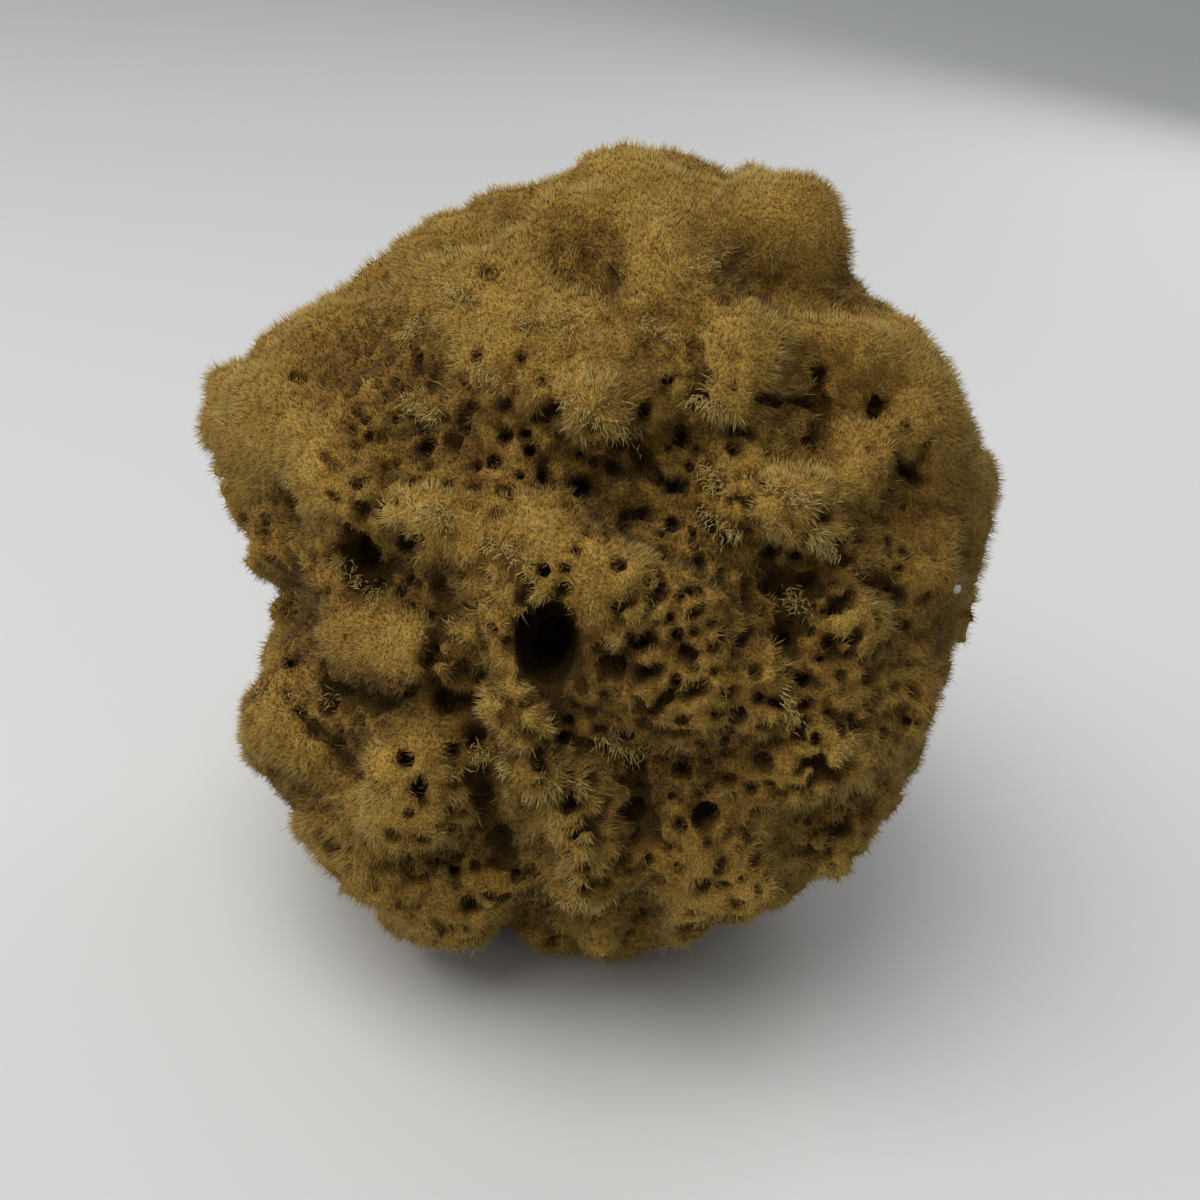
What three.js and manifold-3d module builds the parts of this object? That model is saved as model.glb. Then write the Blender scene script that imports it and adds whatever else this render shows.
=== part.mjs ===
// A dried sea sponge, one grown lump standing on a flattened base: millimetres, +Z up.
// The body is a rounded form that leans back, with grown mounds and furrows, a deep
// main opening, a side crater and a scatter of smaller openings.
import * as THREE from "three";
import { mergeVertices } from "three/addons/utils/BufferGeometryUtils.js";
import Module from "manifold-3d";

// ---- driving dimensions (mm) ----
const CENTRE = [0, 0, 73]; // middle of the body
const LEAN_DEG = 27; // the broad face leans back by this much
const TWIST_DEG = 9; // the broad face is turned by this much in its own plane
const FRONT_DEPTH = 58; // centre to the broad face
const BACK_DEPTH = 60; // centre to the rear
const FULLNESS = 2.35; // 2 is an ellipsoid, higher is fuller
const BASE = { centre: [-3, 13.5, 20], half: [50, 45, 33], blend: 18 }; // lower swelling
const BASE_CUT_Z = 0; // the flat the body stands on
const BODY_DETAIL = 16; // subdivision of the starting solid
const SHIFT = [1.162, -1.231, 0]; // brings the bounding box centre over the origin

// Half width of the broad face every 6 degrees, from its right side over its top.
const OUTLINE = [69.8, 71.8, 75, 72.2, 69.4, 69.1, 69.1, 67.4, 69.8, 74.2, 78, 75.5, 73.9, 75.4, 76.8, 72.4, 69.8, 70.3, 71.9, 68.8, 65, 64, 65.9, 68.6, 68.9, 71.5, 77.6, 77.7, 71.6, 67.3, 64.7, 54.5, 53.8, 63.2, 71.8, 76, 75.3, 75.5, 71.5, 74.7, 76, 76.9, 76, 69.5, 71.2, 71.4, 65.4, 75.8, 73, 72.7, 72, 75.7, 73.2, 71.1, 71, 70, 67.5, 68.3, 66.7, 70.6];

// Mounds (+) and furrows (-) of the surface: from x y z, to x y z, half width, height.
const RELIEF = [
  [-22.2, -50.5, 97.5, -0.7, -54.2, 94.2, 11, 6],
  [-13.9, -56.4, 87.6, -9.8, -58.9, 82.5, 8, 3.5],
  [1.8, -56.6, 88.8, 3.8, -59.3, 81.7, 6, 3],
  [-11.9, -48.9, 103.7, -6.3, -51.7, 99, 10, 3],
  [-8.1, -62.2, 71.6, -7.9, -62.5, 70.2, 7, 5],
  [-0.2, -63.9, 61.2, 2.7, -64, 58.1, 9, 4.5],
  [-26.7, -60.6, 60.8, -22.4, -62, 54, 10, 5],
  [-39.6, -51.1, 75.7, -27.3, -56.5, 79, 9, 4.5],
  [-3.5, -40.3, 118.2, -2.8, -40.9, 117.4, 6.5, 4],
  [29.8, -41.5, 109.8, 31.1, -41.8, 108.8, 6.5, 4],
  [12.1, -38.5, 119.8, 18.3, -36.4, 120.9, 6, 2.5],
  [-33.5, -25, 123.8, -28.3, -23.6, 127.6, 8, 3],
  [-34.5, -36.9, 113, -31.4, -39.8, 111.2, 6, 2],
  [46.5, -7.8, 124.4, 51.9, -12.9, 118, 12, 3],
  [20.5, -31, 126, 25.9, -31.2, 123.7, 8, 2.5],
  [20, -52.9, 93.7, 29, -56.4, 79, 12, 4.5],
  [-2.2, -32.3, 127.8, 6.5, -27.2, 132.6, 12, 2.5],
  [-14.3, -18.2, 136.7, -2.1, -13.4, 141.7, 14, 2],
  [24.9, -0.8, 143, 28, -3.3, 139.8, 10, 4],
  [-27.1, -49.2, 97.7, -23.4, -51.3, 95, 6, 3],
  [7.3, -61.3, 40.7, 16, -56.8, 37.1, 12, 2.5],
  [42.7, -52.7, 67.8, 48.1, -49.3, 58.6, 11, 3],
  [24, -60.6, 51.7, 31.2, -57.9, 49, 10, 2.5],
  [-35.4, -47.6, 31, -28.8, -53.2, 29.9, 10, 3],
  [-52, -45.5, 50.7, -46.7, -49.7, 49.2, 8, 3],
  [-64.6, -23, 98.6, -54.6, -34, 97.2, 12, 3],
  [32.7, -44.9, 102.7, 36.3, -44.7, 100.5, 5, 2.5],
  [45.8, -46.1, 85.6, 55.4, -41.9, 67.4, 14, 2.5],
  [-20.9, -32.7, 123.2, -10.8, -36, 122.6, 12, 3],
  [6.5, -52.2, 98, 13.6, -54.1, 93.2, 10, 2.5],
  [-37.5, -40.7, 106.4, -25.1, -45.9, 105.3, 8, -3.5],
  [-25.1, -45.9, 105.3, -11.6, -44.8, 110.6, 7, -3],
  [-8.4, -45.2, 110.4, 5.1, -47.9, 106.2, 8, -3],
  [5.1, -47.9, 106.2, 15.3, -49.6, 101.8, 7, -3.5],
  [15.3, -49.6, 101.8, 30.3, -48.4, 97.7, 7, -3.5],
  [30.8, -49, 96.3, 32.9, -51.8, 88.2, 6, -3.5],
  [-40.4, -47.1, 87.4, -29.7, -50.4, 92.6, 7, -5],
  [-45.7, -49.4, 63.2, -32.6, -57.6, 67.4, 6, -5],
  [-32.6, -57.6, 67.4, -17.2, -60.9, 72.8, 6, -5.5],
  [-25.4, -53.1, 89.3, -22.9, -58.7, 76.4, 8, -4],
  [-16.2, -61.6, 70.9, -10.6, -63, 66.7, 5, -4.5],
  [-3.5, -61.5, 75.2, -0.4, -62.8, 69.1, 4, -4],
  [-11.7, -63.8, 57.2, -7.4, -63.4, 45.6, 7, -6],
  [12.4, -62.9, 63, 15.4, -62.6, 53.7, 6, -5],
  [22.7, -61.3, 59.5, 25.4, -60.7, 58, 5, -3.5],
  [31.1, -27.2, 125, 31.9, -35.7, 116.2, 5, -4.5],
  [8.8, -30.6, 129.2, 12.3, -38.9, 119.2, 6, -3],
  [-8, -21.7, 136.1, -5.6, -26.3, 133, 7, -3.5],
  [-46.5, -27.3, 113.9, -37.6, -37.1, 110.9, 8, -4.5],
  [-55.5, -19.4, 110.5, -50.6, -28, 109.9, 7, -2.5],
  [16.1, -17.9, 137.9, 25.6, -14.9, 136.2, 7, -4.5],
  [25.6, -14.9, 136.2, 35.2, -8.5, 132.8, 7, -4.5],
  [22.7, -34.9, 121.1, 27.9, -32.8, 121.2, 4, -2.5],
  [41.4, -24.7, 120.6, 42.8, -24, 120.1, 5, -3.5],
  [48.9, -28.6, 111.5, 49.9, -28.6, 110.6, 4, -2.5],
  [38.5, -45.3, 97.3, 50.9, -39.3, 92.6, 4, -2.5],
  [-46.9, -48.5, 62.4, -34.9, -57.6, 55, 5, -3],
  [-50.6, -36.7, 68.9, -44.8, -50.2, 63.8, 8, -4],
  [-31.4, -1.9, 135.5, -16.7, 0.9, 141.5, 7, -2.5],
  [-37.2, -5, 128.8, -23.7, -9.5, 137.4, 6, -2.5],
  [-0.6, -62.8, 44.5, 1.4, -50.1, 22.3, 5, -3],
  [-1.5, -62.6, 70.2, 11, -61.7, 71.7, 5, -2.5],
  [5.2, -62.8, 68.3, 5.6, -63.2, 65.2, 5, -2.5],
  [30.9, 58.1, 99.6, 6.3, 60.4, 114, 17, 5],
  [-24.6, 61, 82.2, -39.3, 50.3, 98.8, 17, 5],
  [1.9, 55.8, 50.4, -14.3, 57.4, 56, 18, 4],
  [-52.2, 30.1, 105, -46.2, 13.2, 116.2, 14, 5],
  [57.7, 37.5, 60.9, 46.2, 51.3, 75.4, 14, 4.5],
  [57.5, 18.7, 107.9, 44.5, 25.7, 119.2, 12, 4],
  [6.9, 38.9, 136.2, -12.7, 31.5, 136.8, 15, 4],
  [-61.4, 24.8, 56.5, -68, 9.6, 68.2, 14, 4.5],
  [-31.3, 40, 33.3, -48.2, 32.5, 42.1, 14, 4],
  [34.2, 26.7, 132.7, 21.9, 28, 139.9, 12, 3.5],
  [23.9, 41.4, 30, 19.7, 48.9, 40.1, 14, 4],
  [-73.7, 5.2, 91.4, -60.3, -6.3, 108, 11, 4],
  [68.5, 4.8, 68.2, 68.6, 12.1, 90.4, 13, 4],
  [58.9, -8.3, 32.9, 64.4, 0, 44.3, 12, 3.5],
  [66.6, -9.4, 100.2, 56.6, -2, 114.2, 11, 3],
  [-55.8, -16, 51.9, -51, -22.7, 65.2, 12, 4],
  [-56.6, -10, 31.3, -58.7, -16.8, 37.8, 11, 3],
  [55, 20, 33.5, 53.8, 31, 42.7, 12, 3.5],
  [-6.8, 64.5, 77.5, -28.4, 58.2, 68.5, 6, -4.5],
  [-49.6, 47.9, 80.3, -58.5, 33.8, 92.4, 6, -5],
  [-6.8, 64.9, 79.9, 2.2, 64.2, 104.3, 6, -4.5],
  [2.2, 64.2, 104.3, -5.5, 52.8, 124.2, 6, -4],
  [38, 56.4, 82.6, 43.8, 45.3, 106.5, 6, -5],
  [43.8, 45.3, 106.5, 32.5, 41.6, 124, 6, -3.5],
  [46.1, 44.5, 52.2, 25.7, 48.2, 41.5, 6, -4],
  [-30.4, 57.1, 66.2, -16.4, 50.5, 42.4, 6, -4.5],
  [-58.5, 33.8, 92.4, -41, 37, 113.1, 6, -4.5],
  [-41, 37, 113.1, -35.6, 24, 127.9, 6, -3],
  [-5.5, 52.8, 124.2, 19.5, 43.9, 130.2, 6, -4],
  [67, 21.8, 85.4, 57.9, 33.4, 53.8, 6, -4.5],
  [-72.5, 10.2, 80.7, -61.5, 20, 54.5, 6, -3],
  [4.1, 23, 144.8, -21.4, 22.2, 136.2, 7, -3.5],
  [58.1, 30.9, 99.6, 51.7, 43.4, 94.9, 5, -3],
  [68.7, -2.4, 90.1, 67.6, 9.5, 58.5, 6, -4],
  [-66.6, -7, 70.7, -65.3, -18.7, 80.1, 6, -4],
  [62.9, -22.9, 48.7, 58.9, -8.3, 32.9, 6, -3],
  [45, 9.6, 124.1, 37.5, 21.6, 128.4, 6, -3],
  [-43.9, 9.3, 119.5, -51.4, 1.8, 116.1, 6, -3],
];

// Slow waves over the whole surface: rate along x y z, phase, height.
const WAVES = [
  [0.17, 0.06, 0.11, 0.3, 1.1],
  [-0.08, 0.19, 0.05, 1.9, 1.1],
  [0.05, -0.11, 0.2, 4.1, 1.1],
  [0.21, 0.16, -0.09, 2.2, 0.8],
  [-0.16, 0.1, 0.22, 5.2, 0.8],
  [0.09, 0.27, 0.17, 0.9, 0.6],
  [0.29, -0.13, 0.06, 3.3, 0.6],
  [0.05, 0.13, -0.31, 1.2, 0.6],
];

// Openings: mouth x y z, way out x y z, long direction x y z, half width, half length, depth.
const OPENINGS = [
  [-5, -62.2, 85.3, 0.116, -0.935, 0.334, -0.227, 0.302, 0.926, 4.6, 6.6, 30],
  [-38.2, -44.7, 86.6, -0.035, -0.961, 0.275, 0.011, 0.275, 0.961, 3.1, 4.6, 12],
  [-31.4, -48.2, 91.6, -0.056, -0.986, 0.159, -0.181, 0.167, 0.969, 1.8, 2.2, 8],
  [-25.2, -63.5, 61.6, -0.046, -0.848, 0.529, -0.153, 0.529, 0.835, 1.4, 1.4, 6],
  [-22, -65, 58.8, 0.09, -0.864, 0.495, -0.16, 0.478, 0.864, 1.3, 1.3, 6],
  [41.8, -23.5, 120.1, -0.012, -0.915, 0.403, -0.157, 0.399, 0.903, 2.1, 1.6, 6],
  [49.8, -25, 109.8, 0.051, -0.964, 0.262, -0.149, 0.252, 0.956, 1.2, 1.5, 5],
  [1.9, -64.1, 60.1, 0.12, -0.866, 0.486, -0.159, 0.467, 0.87, 1.6, 1.6, 6],
  [-23.3, -59.3, 79.5, 0.038, -0.947, 0.32, -0.153, 0.311, 0.938, 1.4, 1.7, 8],
  [4.2, -40.5, 109.2, 0.078, -0.945, 0.317, -0.146, 0.304, 0.941, 1.9, 1.9, 7],
  [13.3, -59.4, 56, 0.071, -0.897, 0.437, -0.154, 0.423, 0.893, 2.6, 3.3, 11],
  [24.8, -59, 57.9, 0.011, -0.898, 0.44, -0.156, 0.433, 0.888, 2.1, 2.3, 9],
  [-8, -58.7, 46, -0.034, -0.958, 0.285, -0.165, 0.287, 0.944, 1.8, 3.3, 10],
  [28.8, -46.4, 93.8, 0.03, -0.861, 0.508, -0.158, 0.498, 0.853, 1.9, 2.2, 8],
  [9.1, -59.9, 95.7, 0.094, -0.922, 0.377, -0.148, 0.361, 0.921, 1.2, 1.5, 6],
  [15.8, -50.6, 98.9, -0.001, -0.742, 0.67, -0.162, 0.662, 0.732, 1.4, 1.4, 6],
  [24.6, -56.1, 89.1, 0.164, -0.832, 0.531, -0.168, 0.507, 0.846, 1.4, 1.4, 6],
  [32.5, -45.5, 94.9, -0.162, -0.873, 0.461, -0.15, 0.483, 0.863, 2.2, 1.6, 7],
  [38.1, -48.2, 94.5, -0.199, -0.827, 0.525, -0.133, 0.554, 0.822, 1.4, 1.3, 5],
  [28.5, -58.8, 80.5, 0.08, -0.901, 0.425, -0.153, 0.411, 0.899, 1.4, 1.6, 6],
  [17.2, -62.1, 82.2, -0.008, -0.904, 0.428, -0.157, 0.424, 0.892, 1.2, 1.2, 5],
  [-23.5, -40.1, 113.5, -0.072, -0.971, 0.227, -0.177, 0.236, 0.955, 1.4, 1.3, 5],
];

// ---- the body's own axes ----
const rad = Math.PI / 180;
const dot = (a, b) => a[0] * b[0] + a[1] * b[1] + a[2] * b[2];
const away = [0, Math.cos(LEAN_DEG * rad), -Math.sin(LEAN_DEG * rad)];
const level = [1, 0, 0];
const rise = [0, Math.sin(LEAN_DEG * rad), Math.cos(LEAN_DEG * rad)];
const across = level.map((v, i) => Math.cos(TWIST_DEG * rad) * v + Math.sin(TWIST_DEG * rad) * rise[i]);
const upward = level.map((v, i) => -Math.sin(TWIST_DEG * rad) * v + Math.cos(TWIST_DEG * rad) * rise[i]);

const smooth = (t) => t * t * (3 - 2 * t);
function around(table, angle) {
  const n = table.length;
  const x = ((angle / (2 * Math.PI)) * n + 10 * n) % n;
  const i = Math.floor(x);
  const t = smooth(x - i);
  return table[i % n] * (1 - t) + table[(i + 1) % n] * t;
}
const kernel = Array.from({ length: 17 }, (_, i) => Math.exp(-0.5 * ((i - 8) / 2.6) ** 2));
const kernelSum = kernel.reduce((a, b) => a + b, 0);
const SOFT_OUTLINE = OUTLINE.map((_, k) =>
  kernel.reduce((s, w, i) => s + (w / kernelSum) * OUTLINE[(k - (i - 8) + OUTLINE.length) % OUTLINE.length], 0));

// Radius of the plain form along a unit direction.
function plainRadius(n) {
  const a = dot(n, across), b = dot(n, upward), c = dot(n, away);
  const angle = Math.atan2(b, a), s = Math.hypot(a, b);
  const k = Math.exp(-(((c + 0.2) / 0.3) ** 2));
  const half = around(SOFT_OUTLINE, angle) * (1 - k) + around(OUTLINE, angle) * k;
  const depth = c < 0 ? FRONT_DEPTH : BACK_DEPTH;
  return ((s / half) ** FULLNESS + (Math.abs(c) / depth) ** FULLNESS) ** (-1 / FULLNESS);
}

function relief(p) {
  let h = 0;
  for (const [x1, y1, z1, x2, y2, z2, w, height] of RELIEF) {
    const v = [x2 - x1, y2 - y1, z2 - z1], q = [p[0] - x1, p[1] - y1, p[2] - z1];
    const t = Math.min(1, Math.max(0, dot(q, v) / (dot(v, v) + 1e-9)));
    const d2 = (q[0] - t * v[0]) ** 2 + (q[1] - t * v[1]) ** 2 + (q[2] - t * v[2]) ** 2;
    h += height * Math.exp(-d2 / (w * w));
  }
  for (const [a, b, c, phase, height] of WAVES) h += height * Math.sin(a * p[0] + b * p[1] + c * p[2] + phase);
  return h;
}

// About the distance to the surface, negative inside.
function field(p) {
  const q = [p[0] - CENTRE[0], p[1] - CENTRE[1], p[2] - CENTRE[2]];
  const r = Math.hypot(...q) + 1e-9;
  const h = relief(p);
  const f = r - plainRadius(q.map((v) => v / r)) - h;
  const [x, y, z] = BASE.centre, [a, b, c] = BASE.half;
  const g = (Math.hypot((p[0] - x) / a, (p[1] - y) / b, (p[2] - z) / c) - 1) * c - h;
  const m = Math.min(1, Math.max(0, 0.5 + (0.5 * (f - g)) / BASE.blend));
  return f * (1 - m) + g * m - BASE.blend * m * (1 - m);
}

// Outermost surface point along a direction from the centre.
function surfaceRadius(n) {
  const at = (t) => field([CENTRE[0] + n[0] * t, CENTRE[1] + n[1] * t, CENTRE[2] + n[2] * t]);
  let t = 110;
  while (t > 20 && at(t) > 0) t -= 1;
  let inside = t, outside = t + 1;
  for (let i = 0; i < 12; i++) {
    const m = (inside + outside) / 2;
    if (at(m) > 0) outside = m; else inside = m;
  }
  return inside;
}

// ---- solids ----
const wasm = await Module();
wasm.setup();

function solid(geometry) {
  geometry.deleteAttribute("normal");
  geometry.deleteAttribute("uv");
  const g = mergeVertices(geometry, 1e-4);
  return new wasm.Manifold(new wasm.Mesh({
    numProp: 3,
    vertProperties: new Float32Array(g.attributes.position.array),
    triVerts: new Uint32Array(g.index.array),
  }));
}

const ball = new THREE.IcosahedronGeometry(1, BODY_DETAIL);
const position = ball.attributes.position;
const seen = new Map();
for (let i = 0; i < position.count; i++) {
  const n = new THREE.Vector3().fromBufferAttribute(position, i).normalize();
  const key = [n.x, n.y, n.z].map((v) => v.toFixed(5)).join();
  if (!seen.has(key)) {
    const t = surfaceRadius([n.x, n.y, n.z]);
    seen.set(key, [CENTRE[0] + n.x * t, CENTRE[1] + n.y * t, CENTRE[2] + n.z * t]);
  }
  position.setXYZ(i, ...seen.get(key));
}
let sponge = solid(ball);

// The flat it stands on.
const below = new THREE.BoxGeometry(300, 300, 80);
below.translate(0, 0, BASE_CUT_Z - 40);
sponge = sponge.subtract(solid(below));

// Openings: blind, narrowing inward, oval at the mouth.
for (const [x, y, z, ax, ay, az, ux, uy, uz, halfWidth, halfLength, depth] of OPENINGS) {
  const big = halfLength > 3;
  const sides = big ? 20 : 8;
  const out = new THREE.Vector3(ax, ay, az).normalize();
  const long = new THREE.Vector3(ux, uy, uz);
  long.addScaledVector(out, -long.dot(out)).normalize();
  const wide = new THREE.Vector3().crossVectors(out, long);
  const profile = [
    [0, 7], [1.25, 7], [1.08, 1.2], [0.94, -0.1 * depth], [0.8, -0.55 * depth], [0.5, -0.9 * depth], [0, -depth],
  ].map(([r, h]) => new THREE.Vector2(r, h)).reverse();
  const cutter = new THREE.LatheGeometry(profile, sides);
  cutter.applyMatrix4(new THREE.Matrix4().makeScale(halfWidth, 1, halfLength));
  cutter.applyMatrix4(new THREE.Matrix4().makeBasis(wide, out, long));
  cutter.translate(x, y, z);
  const tool = solid(cutter);
  sponge = sponge.subtract(tool);
}

// One body only: the lump itself.
const parts = sponge.decompose().sort((a, b) => b.volume() - a.volume());
const result = parts[0].getMesh();
const geometry = new THREE.BufferGeometry();
geometry.setAttribute("position", new THREE.BufferAttribute(new Float32Array(result.vertProperties), 3));
geometry.setIndex(new THREE.BufferAttribute(new Uint32Array(result.triVerts), 1));
geometry.translate(...SHIFT);
geometry.computeVertexNormals();

const body = new THREE.Mesh(geometry, new THREE.MeshStandardMaterial({ color: 0x9a7a45, roughness: 0.95, metalness: 0 }));
body.name = "sponge";

const group = new THREE.Group();
group.add(body);
export default group;
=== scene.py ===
import math
import bpy
import numpy as np
from mathutils import Matrix, Vector, kdtree


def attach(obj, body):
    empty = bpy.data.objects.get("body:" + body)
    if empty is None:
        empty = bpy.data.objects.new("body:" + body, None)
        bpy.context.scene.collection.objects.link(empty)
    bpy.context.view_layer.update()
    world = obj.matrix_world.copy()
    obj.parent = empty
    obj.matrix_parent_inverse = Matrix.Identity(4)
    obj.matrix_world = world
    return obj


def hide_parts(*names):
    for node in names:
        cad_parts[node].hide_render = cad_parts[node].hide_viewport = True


# A dried sea sponge: a porous body with a coat of fine fibres.
# Lengths in the tables are millimetres in the body's own frame; MM and SHIFT bring them to the row frame.
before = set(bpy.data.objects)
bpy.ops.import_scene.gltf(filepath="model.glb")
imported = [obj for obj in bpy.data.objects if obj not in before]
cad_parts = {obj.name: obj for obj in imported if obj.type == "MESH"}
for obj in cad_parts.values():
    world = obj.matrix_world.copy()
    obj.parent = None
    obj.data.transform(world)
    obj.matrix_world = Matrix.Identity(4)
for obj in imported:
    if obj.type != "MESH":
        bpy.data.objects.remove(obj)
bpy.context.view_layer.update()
MM = 0.001
SHIFT = np.array([1.162, -1.231, 0.0])
rng = np.random.default_rng(4711)

# ---------------------------------------------------------------- the grown form
CENTRE = np.array([0.0, 0.0, 73.0])
LEAN, TWIST = math.radians(27), math.radians(9)
FRONT_DEPTH, BACK_DEPTH, FULLNESS = 58.0, 60.0, 2.35
BASE = (-3.0, 13.5, 20.0, 50.0, 45.0, 33.0, 18.0)  # lower swelling: centre, half sizes, blend
OUTLINE = [
    69.8, 71.8, 75, 72.2, 69.4, 69.1, 69.1, 67.4, 69.8, 74.2, 78, 75.5, 73.9, 75.4, 76.8, 72.4, 69.8, 70.3, 71.9, 68.8, 65, 64, 65.9, 68.6, 68.9, 71.5, 
    77.6, 77.7, 71.6, 67.3, 64.7, 54.5, 53.8, 63.2, 71.8, 76, 75.3, 75.5, 71.5, 74.7, 76, 76.9, 76, 69.5, 71.2, 71.4, 65.4, 75.8, 73, 72.7, 72, 75.7, 
    73.2, 71.1, 71, 70, 67.5, 68.3, 66.7, 70.6, 
]
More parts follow.
